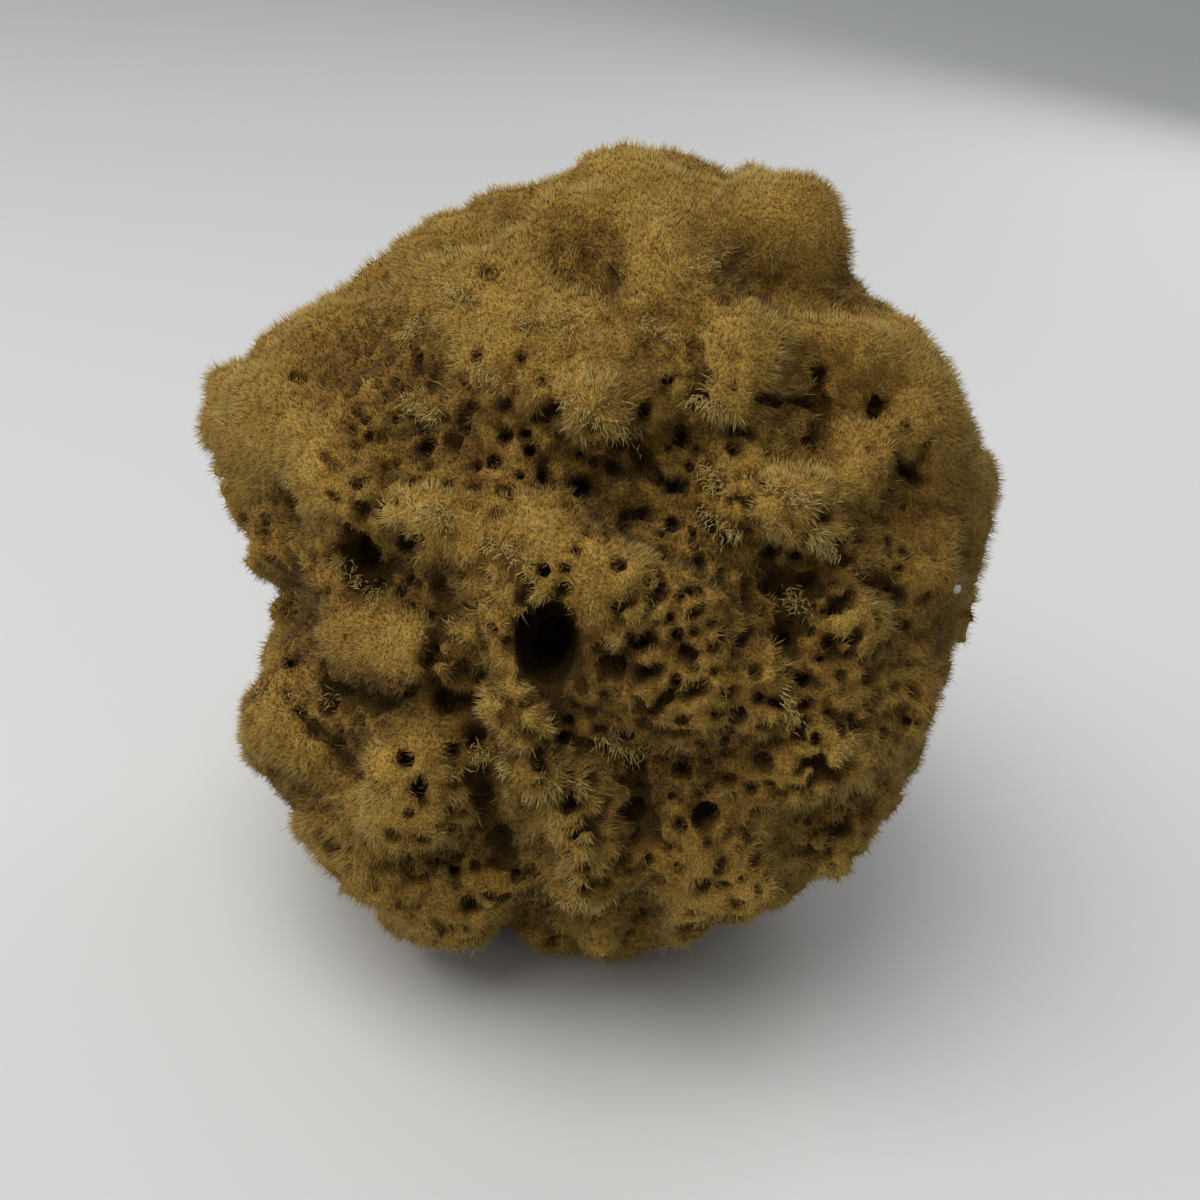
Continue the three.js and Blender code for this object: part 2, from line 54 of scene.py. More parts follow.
RELIEF = [
    (-22.2,-50.5,97.5,-0.7,-54.2,94.2,11,6), (-13.9,-56.4,87.6,-9.8,-58.9,82.5,8,3.5), (1.8,-56.6,88.8,3.8,-59.3,81.7,6,3), 
    (-11.9,-48.9,103.7,-6.3,-51.7,99,10,3), (-8.1,-62.2,71.6,-7.9,-62.5,70.2,7,5), (-0.2,-63.9,61.2,2.7,-64,58.1,9,4.5), 
    (-26.7,-60.6,60.8,-22.4,-62,54,10,5), (-39.6,-51.1,75.7,-27.3,-56.5,79,9,4.5), (-3.5,-40.3,118.2,-2.8,-40.9,117.4,6.5,4), 
    (29.8,-41.5,109.8,31.1,-41.8,108.8,6.5,4), (12.1,-38.5,119.8,18.3,-36.4,120.9,6,2.5), (-33.5,-25,123.8,-28.3,-23.6,127.6,8,3), 
    (-34.5,-36.9,113,-31.4,-39.8,111.2,6,2), (46.5,-7.8,124.4,51.9,-12.9,118,12,3), (20.5,-31,126,25.9,-31.2,123.7,8,2.5), 
    (20,-52.9,93.7,29,-56.4,79,12,4.5), (-2.2,-32.3,127.8,6.5,-27.2,132.6,12,2.5), (-14.3,-18.2,136.7,-2.1,-13.4,141.7,14,2), 
    (24.9,-0.8,143,28,-3.3,139.8,10,4), (-27.1,-49.2,97.7,-23.4,-51.3,95,6,3), (7.3,-61.3,40.7,16,-56.8,37.1,12,2.5), 
    (42.7,-52.7,67.8,48.1,-49.3,58.6,11,3), (24,-60.6,51.7,31.2,-57.9,49,10,2.5), (-35.4,-47.6,31,-28.8,-53.2,29.9,10,3), 
    (-52,-45.5,50.7,-46.7,-49.7,49.2,8,3), (-64.6,-23,98.6,-54.6,-34,97.2,12,3), (32.7,-44.9,102.7,36.3,-44.7,100.5,5,2.5), 
    (45.8,-46.1,85.6,55.4,-41.9,67.4,14,2.5), (-20.9,-32.7,123.2,-10.8,-36,122.6,12,3), (6.5,-52.2,98,13.6,-54.1,93.2,10,2.5), 
    (-37.5,-40.7,106.4,-25.1,-45.9,105.3,8,-3.5), (-25.1,-45.9,105.3,-11.6,-44.8,110.6,7,-3), (-8.4,-45.2,110.4,5.1,-47.9,106.2,8,-3), 
    (5.1,-47.9,106.2,15.3,-49.6,101.8,7,-3.5), (15.3,-49.6,101.8,30.3,-48.4,97.7,7,-3.5), (30.8,-49,96.3,32.9,-51.8,88.2,6,-3.5), 
    (-40.4,-47.1,87.4,-29.7,-50.4,92.6,7,-5), (-45.7,-49.4,63.2,-32.6,-57.6,67.4,6,-5), (-32.6,-57.6,67.4,-17.2,-60.9,72.8,6,-5.5), 
    (-25.4,-53.1,89.3,-22.9,-58.7,76.4,8,-4), (-16.2,-61.6,70.9,-10.6,-63,66.7,5,-4.5), (-3.5,-61.5,75.2,-0.4,-62.8,69.1,4,-4), 
    (-11.7,-63.8,57.2,-7.4,-63.4,45.6,7,-6), (12.4,-62.9,63,15.4,-62.6,53.7,6,-5), (22.7,-61.3,59.5,25.4,-60.7,58,5,-3.5), 
    (31.1,-27.2,125,31.9,-35.7,116.2,5,-4.5), (8.8,-30.6,129.2,12.3,-38.9,119.2,6,-3), (-8,-21.7,136.1,-5.6,-26.3,133,7,-3.5), 
    (-46.5,-27.3,113.9,-37.6,-37.1,110.9,8,-4.5), (-55.5,-19.4,110.5,-50.6,-28,109.9,7,-2.5), (16.1,-17.9,137.9,25.6,-14.9,136.2,7,-4.5), 
    (25.6,-14.9,136.2,35.2,-8.5,132.8,7,-4.5), (22.7,-34.9,121.1,27.9,-32.8,121.2,4,-2.5), (41.4,-24.7,120.6,42.8,-24,120.1,5,-3.5), 
    (48.9,-28.6,111.5,49.9,-28.6,110.6,4,-2.5), (38.5,-45.3,97.3,50.9,-39.3,92.6,4,-2.5), (-46.9,-48.5,62.4,-34.9,-57.6,55,5,-3), 
    (-50.6,-36.7,68.9,-44.8,-50.2,63.8,8,-4), (-31.4,-1.9,135.5,-16.7,0.9,141.5,7,-2.5), (-37.2,-5,128.8,-23.7,-9.5,137.4,6,-2.5), 
    (-0.6,-62.8,44.5,1.4,-50.1,22.3,5,-3), (-1.5,-62.6,70.2,11,-61.7,71.7,5,-2.5), (5.2,-62.8,68.3,5.6,-63.2,65.2,5,-2.5), 
    (30.9,58.1,99.6,6.3,60.4,114,17,5), (-24.6,61,82.2,-39.3,50.3,98.8,17,5), (1.9,55.8,50.4,-14.3,57.4,56,18,4), 
    (-52.2,30.1,105,-46.2,13.2,116.2,14,5), (57.7,37.5,60.9,46.2,51.3,75.4,14,4.5), (57.5,18.7,107.9,44.5,25.7,119.2,12,4), 
    (6.9,38.9,136.2,-12.7,31.5,136.8,15,4), (-61.4,24.8,56.5,-68,9.6,68.2,14,4.5), (-31.3,40,33.3,-48.2,32.5,42.1,14,4), 
    (34.2,26.7,132.7,21.9,28,139.9,12,3.5), (23.9,41.4,30,19.7,48.9,40.1,14,4), (-73.7,5.2,91.4,-60.3,-6.3,108,11,4), 
    (68.5,4.8,68.2,68.6,12.1,90.4,13,4), (58.9,-8.3,32.9,64.4,0,44.3,12,3.5), (66.6,-9.4,100.2,56.6,-2,114.2,11,3), 
    (-55.8,-16,51.9,-51,-22.7,65.2,12,4), (-56.6,-10,31.3,-58.7,-16.8,37.8,11,3), (55,20,33.5,53.8,31,42.7,12,3.5), 
    (-6.8,64.5,77.5,-28.4,58.2,68.5,6,-4.5), (-49.6,47.9,80.3,-58.5,33.8,92.4,6,-5), (-6.8,64.9,79.9,2.2,64.2,104.3,6,-4.5), 
    (2.2,64.2,104.3,-5.5,52.8,124.2,6,-4), (38,56.4,82.6,43.8,45.3,106.5,6,-5), (43.8,45.3,106.5,32.5,41.6,124,6,-3.5), 
    (46.1,44.5,52.2,25.7,48.2,41.5,6,-4), (-30.4,57.1,66.2,-16.4,50.5,42.4,6,-4.5), (-58.5,33.8,92.4,-41,37,113.1,6,-4.5), 
    (-41,37,113.1,-35.6,24,127.9,6,-3), (-5.5,52.8,124.2,19.5,43.9,130.2,6,-4), (67,21.8,85.4,57.9,33.4,53.8,6,-4.5), 
    (-72.5,10.2,80.7,-61.5,20,54.5,6,-3), (4.1,23,144.8,-21.4,22.2,136.2,7,-3.5), (58.1,30.9,99.6,51.7,43.4,94.9,5,-3), 
    (68.7,-2.4,90.1,67.6,9.5,58.5,6,-4), (-66.6,-7,70.7,-65.3,-18.7,80.1,6,-4), (62.9,-22.9,48.7,58.9,-8.3,32.9,6,-3), 
    (45,9.6,124.1,37.5,21.6,128.4,6,-3), (-43.9,9.3,119.5,-51.4,1.8,116.1,6,-3), 
]
WAVES = [
    (0.17,0.06,0.11,0.3,1.1), (-0.08,0.19,0.05,1.9,1.1), (0.05,-0.11,0.2,4.1,1.1), (0.21,0.16,-0.09,2.2,0.8), (-0.16,0.1,0.22,5.2,0.8), 
    (0.09,0.27,0.17,0.9,0.6), (0.29,-0.13,0.06,3.3,0.6), (0.05,0.13,-0.31,1.2,0.6), 
]
OPENINGS = [
    (-5,-62.2,85.3,0.116,-0.935,0.334,-0.227,0.302,0.926,4.6,6.6,30), (-38.2,-44.7,86.6,-0.035,-0.961,0.275,0.011,0.275,0.961,3.1,4.6,12), 
    (-31.4,-48.2,91.6,-0.056,-0.986,0.159,-0.181,0.167,0.969,1.8,2.2,8), (-25.2,-63.5,61.6,-0.046,-0.848,0.529,-0.153,0.529,0.835,1.4,1.4,6), 
    (-22,-65,58.8,0.09,-0.864,0.495,-0.16,0.478,0.864,1.3,1.3,6), (41.8,-23.5,120.1,-0.012,-0.915,0.403,-0.157,0.399,0.903,2.1,1.6,6), 
    (49.8,-25,109.8,0.051,-0.964,0.262,-0.149,0.252,0.956,1.2,1.5,5), (1.9,-64.1,60.1,0.12,-0.866,0.486,-0.159,0.467,0.87,1.6,1.6,6), 
    (-23.3,-59.3,79.5,0.038,-0.947,0.32,-0.153,0.311,0.938,1.4,1.7,8), (4.2,-40.5,109.2,0.078,-0.945,0.317,-0.146,0.304,0.941,1.9,1.9,7), 
    (13.3,-59.4,56,0.071,-0.897,0.437,-0.154,0.423,0.893,2.6,3.3,11), (24.8,-59,57.9,0.011,-0.898,0.44,-0.156,0.433,0.888,2.1,2.3,9), 
    (-8,-58.7,46,-0.034,-0.958,0.285,-0.165,0.287,0.944,1.8,3.3,10), (28.8,-46.4,93.8,0.03,-0.861,0.508,-0.158,0.498,0.853,1.9,2.2,8), 
    (9.1,-59.9,95.7,0.094,-0.922,0.377,-0.148,0.361,0.921,1.2,1.5,6), (15.8,-50.6,98.9,-0.001,-0.742,0.67,-0.162,0.662,0.732,1.4,1.4,6), 
    (24.6,-56.1,89.1,0.164,-0.832,0.531,-0.168,0.507,0.846,1.4,1.4,6), (32.5,-45.5,94.9,-0.162,-0.873,0.461,-0.15,0.483,0.863,2.2,1.6,7), 
    (38.1,-48.2,94.5,-0.199,-0.827,0.525,-0.133,0.554,0.822,1.4,1.3,5), (28.5,-58.8,80.5,0.08,-0.901,0.425,-0.153,0.411,0.899,1.4,1.6,6), 
    (17.2,-62.1,82.2,-0.008,-0.904,0.428,-0.157,0.424,0.892,1.2,1.2,5), (-23.5,-40.1,113.5,-0.072,-0.971,0.227,-0.177,0.236,0.955,1.4,1.3,5), 
]
# mouth x, y, z, radius, depth
PITS = [
    (13.1,-59.6,56.3,1.64,7.1), (24.3,-59.5,57.2,1.64,7.1), (-33.6,-52.3,63.9,1.66,7.2), (11.3,-45.5,102.2,1.12,6), (31.4,-51,88,1.6,7), 
    (32.2,-47.6,102.4,0.78,5.2), (-11.5,-59.4,47.5,1.67,7.2), (7,-60.5,96.5,1.08,5.9), (-1.6,-60.6,69.5,1.13,6), (17.5,-52.3,98.3,1.1,5.9), 
    (-16,-59.4,67.8,1.61,7), (15.2,-60.5,69.7,0.79,5.2), (-31.9,-48.9,93.3,1.6,7), (35.9,-54.4,83.5,1.13,6), (11.5,-60.4,88.4,0.76,5.2), 
    (12,-58.1,63.8,1.15,6), (34.5,-36.6,113,1.61,7), (4.7,-61.5,82,1.1,5.9), (22.1,-62.1,77.3,0.78,5.2), (-24.7,-57.2,70.5,1.62,7.1), 
    (38.6,-48.8,94.4,0.79,5.2), (16.8,-58.7,63.5,1.15,6), (26,-60.3,78.7,1.1,5.8), (30.7,-48.3,91.3,0.79,5.1), (43.1,-58.4,67.5,1.6,6.9), 
    (25.7,-59.8,71.4,0.56,4.6), (46.4,-40.4,95.6,0.57,4.6), (-7.7,-58.1,43.2,1.66,7), (-3.5,-45.3,106.5,1.55,6.7), (16.2,-63.5,76.3,0.76,4.9), 
    (5.5,-60.2,63.7,1.12,5.7), (20.8,-48.6,107.8,1.07,5.6), (19.9,-59.7,65.7,0.78,5), (3.2,-44,103.6,0.77,4.9), (34.9,-46.4,108.2,1.08,5.6), 
    (19.4,-41.2,115.5,1.08,5.6), (12.1,-58.3,66.4,0.56,4.4), (30.3,-45.6,94.5,1.56,6.6), (7.1,-44.2,103,0.76,4.8), (19.8,-61.7,81.9,0.75,4.8), 
    (15.3,-56.9,96.8,0.74,4.8), (34.2,-59.7,62.4,0.78,4.9), (4.5,-40.7,118.9,1.07,5.5), (-21.1,-57.9,69.4,1.1,5.6), (10.3,-60.3,72.5,1.09,5.5), 
    (11.9,-61.4,83.8,1.06,5.4), (21.3,-62.1,72.8,0.75,4.8), (9.3,-59,69.4,0.55,4.3), (9.1,-41.5,107.1,1.09,5.5), (42.7,-51.7,86.1,0.54,4.3), 
    (40.9,-56,78.3,0.76,4.8), (-12,-61.6,56.1,1.57,6.5), (10.8,-39.5,121.5,1.51,6.4), (14.5,-63,79.7,0.53,4.2), (31.3,-27,119.9,1.57,6.5), 
    (25.8,-46.2,97.8,0.54,4.2), (-10.2,-45.1,117.2,1.48,6.2), (31.7,-60,53.6,0.55,4.1), (10.3,-39.5,114.9,1.51,6.2), (42.8,-50.8,88.8,0.53,4.1), 
    (6.7,-59,67.2,0.54,4.1), (-32.9,-49.3,99,0.53,4), (17.8,-59,58.8,0.55,4.1), (26,-49.4,92.8,0.74,4.5), (37.4,-46.7,103.1,0.74,4.5), 
    (45.1,-40.6,97.6,0.54,4), (-22.1,-65.3,58.8,0.53,4), (18.8,-60.1,54.6,0.54,4), (15.7,-46.2,104.2,0.52,4), (20.5,-61.3,51.8,0.54,4), 
    (11.9,-62,48.7,0.54,4), (31.9,-59.1,67.4,1.06,5.1), (31.9,-58.8,71.2,0.74,4.3), (-31.4,-37.6,105.5,1.51,6.1), (17.3,-58.3,93.4,0.51,3.8), 
    (40.7,-52.5,53.9,0.55,3.9), (42.4,-46.6,95.9,0.52,3.8), (44.1,-49.6,90.8,0.52,3.8), (27.4,-49.4,107.9,0.71,4.2), (39.6,-42.5,106.5,0.52,3.8), 
    (42.7,-53.6,80.7,0.52,3.8), (12.4,-62.5,75.3,0.72,4.2), (-1.8,-54.1,103.3,0.5,3.7), (30.5,-32.8,115,0.74,4.2), (31.3,-24.3,123.5,1.07,5), 
    (-29.3,-50,93.3,0.52,3.7), (24.5,-57.4,87.5,0.51,3.7), (5.8,-48.5,101.2,1.02,4.8), (6.2,-66.3,47.7,1.06,4.9), (49.6,-25.3,109.4,0.76,4.3), 
    (47.4,-50.1,79.2,0.53,3.7), (3.4,-61.2,83.4,0.5,3.7), (36.8,-56.6,79.8,0.72,4.1), (12.2,-60.9,51.8,0.53,3.7), (-25.4,-63.6,61.7,0.72,4.1), 
    (34.1,-47.5,93.1,0.52,3.7), (30.2,-7.9,134.9,1.56,6), (34.5,-58.7,57.2,0.74,4.2), (9.6,-57,99.5,0.49,3.6), (0.3,-45.2,19.6,1.18,5.1), 
    (36.8,-46.3,99.6,0.51,3.6), (49,-38.5,93.6,0.53,3.7), (21.5,-57.9,89.7,0.5,3.6), (-23.1,-58,75.2,0.51,3.6), (15.2,-42,112.6,0.51,3.6), 
    (-20,-65.9,47.7,0.73,4.1), (-36.1,-47,99.6,1.02,4.7), (-26.8,-40.4,106.4,1.46,5.7), (-38.6,-48.2,95.6,0.71,4), (15.4,-44,109.8,0.5,3.6), 
    (20.3,-57.4,91.9,0.5,3.5), (-8.6,-46.6,107.2,1.42,5.6), (20.1,-61.6,47.8,0.74,4.1), (15,-60.8,44.8,0.75,4.1), (-18.7,-41.9,111.1,0.71,4), 
    (7.4,-60.6,88.5,0.49,3.5), (8.4,-61.6,75.3,0.7,4), (34.6,-59.4,49.4,1.5,5.7), (37.1,-59.3,70.4,0.51,3.5), (12.2,-62.7,79.6,0.5,3.5), 
    (28.4,-48,103,0.5,3.5), (23.7,-34.9,121.1,0.71,4), (12.4,-58.5,60.6,0.52,3.5), (-13.2,-44,109.3,0.7,3.9), (11.9,-42.7,107,0.5,3.5), 
    (43,-39.5,103.4,0.51,3.5), (11,-59.2,96,0.48,3.4), (-34.9,-37.4,103.6,0.52,3.5), (-14.5,-58.8,74.2,0.5,3.5), (24.8,-49,94.6,0.5,3.4), 
    (18.3,-46.4,109.5,0.49,3.4), (38.4,-59.6,65,0.51,3.4), (23.5,-39.5,116.1,0.5,3.4), (-20.1,-42.8,107.3,0.7,3.8), (14.3,-58.6,59.9,0.72,3.9), 
    (16.2,-60.3,87.7,0.68,3.8), (37.8,-52.5,86.1,0.5,3.4), (2.4,-64.3,44.1,0.72,3.8), (-32.1,-45.4,101.3,0.7,3.8), (22,-37.5,121.5,0.49,3.3), 
    (46.9,-46.1,92,0.7,3.7), (-16.1,-64,54.6,0.71,3.7), (27.5,-59.3,71.4,0.5,3.2), (44.8,-36.1,110.2,0.5,3.3), (39.9,-58.3,73.9,0.5,3.2), 
    (-3.6,-43.9,122.1,0.48,3.2), (22.5,-48.3,101.6,0.49,3.2), (51.5,-36.7,92.2,0.52,3.3), (0.1,-59.8,70.6,0.5,3.2), (-13.5,-43,121.3,0.48,3.2), 
    (45.7,-46,93.5,0.5,3.2), (41.7,-24.1,119.6,1.45,5.3), (14.5,-61.6,83.2,0.48,3.2), (-29.3,-28.3,127.4,0.5,3.2), (49.4,-49,52.2,1.5,5.4), 
    (17.2,-61,84.7,0.67,3.6), (20.4,-51.3,97.6,0.48,3.2), (37.9,-51.2,89.2,0.98,4.2), (19.1,-44.4,112,0.48,3.1), (45,-57.4,70.5,0.5,3.2), 
    (-14.5,-46.1,106.5,0.68,3.5), (-43.6,-42.7,102,0.49,3.1), (41.2,-44.5,99.2,0.69,3.6), (-13.2,-59.2,31.9,1.05,4.4), (10.8,-63.2,43.9,0.51,3.2), 
    (10.2,-49.8,100.1,0.48,3.1), (27.9,-45.8,100.1,0.68,3.5), (15.6,-60.7,85.9,0.66,3.5), (40,-59.2,70.7,0.49,3.1), (50.8,-34.1,99.2,0.51,3.1), 
    (22.6,-60.2,68.7,0.49,3.1), (6.2,-38.8,122.8,0.67,3.5), (14.1,-50.2,99.3,0.48,3), (2.1,-64.2,60,0.69,3.5), (-44,-46.3,93,0.49,3.1), 
    (-1.3,-46.8,104.1,0.67,3.5), (18.9,-47.7,103.1,0.67,3.4), (14.3,-59.8,90.7,0.66,3.4), (-50.2,-37,62.5,1.51,5.3), (11.6,-58,97.8,0.46,3), 
    (-29.6,-54.6,66.2,0.5,3), (28.1,-59.2,65.2,0.49,3), (-4.4,-65.8,65.7,0.48,3), (32.9,-45,96.9,0.97,4.1), (11.3,-54.5,32,1.05,4.2), 
    (58,-33,89.2,0.51,3), (-24.2,-39.6,121.8,0.66,3.4), (45.4,-52.9,77.8,0.49,3), (51.2,-38.8,89.6,0.5,3), (2.6,-61.8,79.7,0.47,2.9), 
    (22.5,-45.4,112,0.47,2.9), (-17,-46.6,105.1,0.47,2.9), (46.8,-49.5,82.1,0.49,2.9), (32.3,-48.4,107.5,0.47,2.9), (2.7,-60.2,99.7,0.64,3.3), 
    (48.3,-46.6,87.5,0.49,2.9), (20.4,-48.9,100.1,0.47,2.9), (-16.4,-64.1,49.6,0.49,2.9), (47.4,-30.9,105.2,0.5,2.9), (7.8,-39.8,111.7,0.48,2.9), 
    (-26.2,-66.9,49.9,0.68,3.3), (-3.4,-61.4,73.1,0.47,2.9), (-8.7,-44.1,112.6,0.47,2.9), (31.9,-29.9,116.9,0.69,3.3), (-12.7,-58.2,38.9,1.02,4), 
    (48.1,-51.6,75.4,0.49,2.9), (-39.4,-30.4,110.2,0.99,4), (-2.9,-63,68.1,0.47,2.8), (-6.1,-58.1,33.2,0.72,3.4), (7.2,-65.5,42.8,0.49,2.9), 
    (31.8,-59.5,59,0.49,2.9), (-30.3,-41.9,102.9,0.48,2.8), (-39.5,-35.2,105,0.68,3.3), (54.8,-45.8,75.1,0.5,2.9), (39.6,-51.8,88.4,0.47,2.8), 
    (15.8,-45.3,107.6,0.47,2.8), (-36.3,-34.9,105.4,0.49,2.8), (61.4,-29.9,89.4,0.51,2.9), (-41,-37.1,103.9,0.68,3.3), (27.8,-61.4,50.6,0.49,2.8), 
    (40.9,-38.6,111.6,0.67,3.2), (10.1,-38.5,123.8,0.47,2.8), (4.3,-40.4,112.8,0.47,2.8), (2.2,-41.9,107.1,0.47,2.8), (-41.8,-47.2,60.3,1.43,4.9), 
    (-7.4,-60.2,97.5,0.63,3.1), (47.5,-48.1,85.2,0.67,3.2), (-6,-27.1,133.1,1.35,4.7), (15.6,-59,93.1,0.46,2.7), (14.8,-60.1,50.6,0.69,3.2), 
    (-2.7,-63.4,50.8,0.68,3.2), (4.2,-61.5,93.8,0.45,2.7), (-25.6,-53,85.3,1.34,4.7), (-0.2,-43.1,112.9,0.65,3.1), (40.1,-59.3,68.5,0.48,2.7), 
    (28.5,-55.4,86,0.47,2.7), (-10.7,-61.4,92.1,0.45,2.7), (-23,-67,54.3,0.66,3.1), (-39.4,-45.1,100.3,0.47,2.7), (29.8,-59.1,76.3,0.47,2.7), 
    (-24.8,-39.9,111,0.66,3.1), (-9.3,-62.1,60.5,0.48,2.7), (-31.8,-47.4,87,0.67,3.1), (54.2,-38.1,85.7,0.69,3.2), (-29.5,-36,112.2,0.47,2.7), 
    (45.8,-50.7,50.4,0.5,2.8), (-3.2,-58.8,101.2,0.45,2.6), (-24.7,-25.8,132.7,1.34,4.6), (2.8,-65.8,55,0.66,3.1), (-4.8,-46.2,116.2,0.45,2.6), 
    (17.8,-47.5,28.5,0.53,2.8), (9.5,-61.6,82.3,0.46,2.6), (-4.7,-61.7,94.7,0.45,2.6), (3.9,-61.7,77,0.46,2.7), (56.9,-40.9,60.6,0.51,2.8), 
    (9.7,-62.5,78.6,0.46,2.6), (8.8,-59.5,61.7,0.48,2.7), (-35.1,-55.9,52.5,0.98,3.8), (-44.5,-43,84.5,0.48,2.7), (-12.6,-61.4,66,0.66,3.1), 
    (7.9,-64.3,54.3,0.47,2.6), (13.6,-59,94.8,0.45,2.6), (-4,-49.5,104.6,0.46,2.6), (32.4,-57.6,80.3,0.46,2.6), (34.9,-58.8,72.9,0.93,3.6), 
    (-33,-55,75.4,0.66,3), (24.2,-61.6,45.2,0.48,2.6), (45.6,-54.7,75.3,0.47,2.6), (6.2,-65.6,53.5,0.47,2.6), (24.1,-48.6,95.9,0.46,2.6), 
    (18.9,-48,101.5,0.46,2.6), (15.3,-40.3,118.5,0.46,2.6), (17.2,-39.3,124.6,0.45,2.6), (36.5,-59.6,67.2,0.47,2.6), (55.6,-46.4,72.9,0.49,2.6), 
    (29.5,-59.3,62,0.47,2.6), (-2,-64.6,64.8,0.46,2.6), (28,-61.5,45.2,0.48,2.6), (-37.5,-56.3,36.9,1.41,4.7), (8.7,-36.2,126.9,0.46,2.6), 
    (15.6,-60.7,47.8,0.68,3), (-14.2,-42.9,113.9,0.46,2.6), (-18.8,-41.7,114,0.46,2.6), (50.1,-36.5,96.3,0.48,2.6), (28.4,-28.8,120.1,0.47,2.6), 
    (29.9,-61.3,45.8,0.48,2.6), (17,-60.2,42,0.49,2.6), (-17,-58.6,39.9,0.49,2.6), (-5.9,-67,68.6,0.91,3.5), (9.8,-60.2,93.1,0.44,2.5), 
    (-53.9,-23.6,109.7,1.39,4.6), (-17.2,-51.2,102.4,0.9,3.5), (-21,-59.4,29.5,0.7,3.1), (-4.1,-58.9,38.1,0.49,2.6), (-28.6,-36.7,117,0.46,2.5), 
    (-24.3,-40.1,116.2,0.64,2.9), (37.8,-58.2,75.3,0.46,2.5), (22.4,-61.1,81.8,0.45,2.5), (-8.5,-66.7,74.2,0.45,2.5), (36,-59.4,62.2,0.47,2.5), 
    (-14.4,-62.1,59.1,0.47,2.5), (-11.2,-57.3,25.6,0.5,2.6), (-13.5,-57,97.8,0.62,2.9), (-23.4,-59.4,79.2,0.46,2.5), (-4,-35.8,8.4,0.77,3.2), 
    (7.5,-60.8,86.3,0.45,2.5), (55.1,-25.1,103.8,0.49,2.6), (-16.5,-62.2,64.1,0.65,2.9), (-17.1,-40,123.8,0.63,2.8), (-0.9,-60.5,75.3,0.46,2.5), 
    (0.4,-48.1,102.8,0.45,2.5), (13.3,-39.9,121.4,0.45,2.5), (-34.1,-32.9,110.1,0.47,2.5), (-14.3,-63.1,80.4,0.45,2.4), (30.7,-61.3,42.2,0.48,2.5), 
]

level = np.array([1.0, 0, 0])
rise = np.array([0, math.sin(LEAN), math.cos(LEAN)])
away = np.array([0, math.cos(LEAN), -math.sin(LEAN)])
across = math.cos(TWIST) * level + math.sin(TWIST) * rise
upward = -math.sin(TWIST) * level + math.cos(TWIST) * rise
OUTLINE = np.array(OUTLINE)
kernel = np.exp(-0.5 * (np.arange(-8, 9) / 2.6) ** 2)
kernel /= kernel.sum()
SOFT = sum(w * np.roll(OUTLINE, i) for w, i in zip(kernel, range(-8, 9)))


def around(table, angle):
    n = len(table)
    x = (angle / (2 * np.pi) * n) % n
    i = np.floor(x).astype(int)
    t = x - i
    t = t * t * (3 - 2 * t)
    return table[i % n] * (1 - t) + table[(i + 1) % n] * t


def plain_radius(n):
    a, b, c = n @ across, n @ upward, n @ away
    angle, s = np.arctan2(b, a), np.sqrt(a * a + b * b)
    k = np.exp(-(((c + 0.2) / 0.3) ** 2))
    half = around(SOFT, angle) * (1 - k) + around(OUTLINE, angle) * k
    depth = np.where(c < 0, FRONT_DEPTH, BACK_DEPTH)
    return ((s / half) ** FULLNESS + (np.abs(c) / depth) ** FULLNESS) ** (-1 / FULLNESS)


def envelope(p):
    """About the distance to the surface that the fibre tips reach, negative inside."""
    q = p - CENTRE
    r = np.linalg.norm(q, axis=-1) + 1e-9
    h = np.zeros(p.shape[:-1])
    for x1, y1, z1, x2, y2, z2, w, hh in RELIEF:
        a = np.array([x1, y1, z1])
        v = np.array([x2, y2, z2]) - a
        t = np.clip(((p - a) @ v) / (v @ v + 1e-9), 0, 1)
        h += hh * np.exp(-((p - a - t[..., None] * v) ** 2).sum(-1) / (w * w))
    for a, b, c, ph, am in WAVES:
        h += am * np.sin(a * p[..., 0] + b * p[..., 1] + c * p[..., 2] + ph)
    f = r - plain_radius(q / r[..., None]) - h
    x, y, z, a, b, c, k = BASE
    g = (np.sqrt(((p[..., 0] - x) / a) ** 2 + ((p[..., 1] - y) / b) ** 2 + ((p[..., 2] - z) / c) ** 2) - 1) * c - h
    m = np.clip(0.5 + 0.5 * (f - g) / k, 0, 1)
    return f * (1 - m) + g * m - k * m * (1 - m)


# ---------------------------------------------------------------- grids
CREST_GAIN = 0.7
H = 0.8          # fine step
Q = 4            # fine steps to one coarse step
LOW = np.array([-83.2, -75.2, -4.8])
COARSE = np.array([53, 49, 52])


def finer(g, q=Q):
    """Cubic refinement of a grid by q along each axis."""
    for ax in range(3):
        g = np.moveaxis(g, ax, 0)
        n = len(g)
        pad = np.concatenate([2 * g[:1] - g[1:2], g, 2 * g[-1:] - g[-2:-1]])
        out = np.empty(((n - 1) * q + 1,) + g.shape[1:], g.dtype)
        for k in range(q):
            t = k / q
            w = (-0.5 * t + t * t - 0.5 * t ** 3, 1 - 2.5 * t * t + 1.5 * t ** 3,
                 0.5 * t + 2 * t * t - 1.5 * t ** 3, -0.5 * t * t + 0.5 * t ** 3)
            m = n - 1
            out[k:m * q:q] = w[0] * pad[:m] + w[1] * pad[1:m + 1] + w[2] * pad[2:m + 2] + w[3] * pad[3:m + 3]
        out[-1] = g[-1]
        g = np.moveaxis(out, 0, ax)
    return np.ascontiguousarray(g)


def soften(g, times):
    """A small blur along each axis, repeated."""
    for _ in range(times):
        for ax in range(3):
            a = np.concatenate([g.take([0], ax), g.take(range(g.shape[ax] - 1), ax)], ax)
            b = np.concatenate([g.take(range(1, g.shape[ax]), ax), g.take([-1], ax)], ax)
            g = 0.25 * a + 0.5 * g + 0.25 * b
    return g


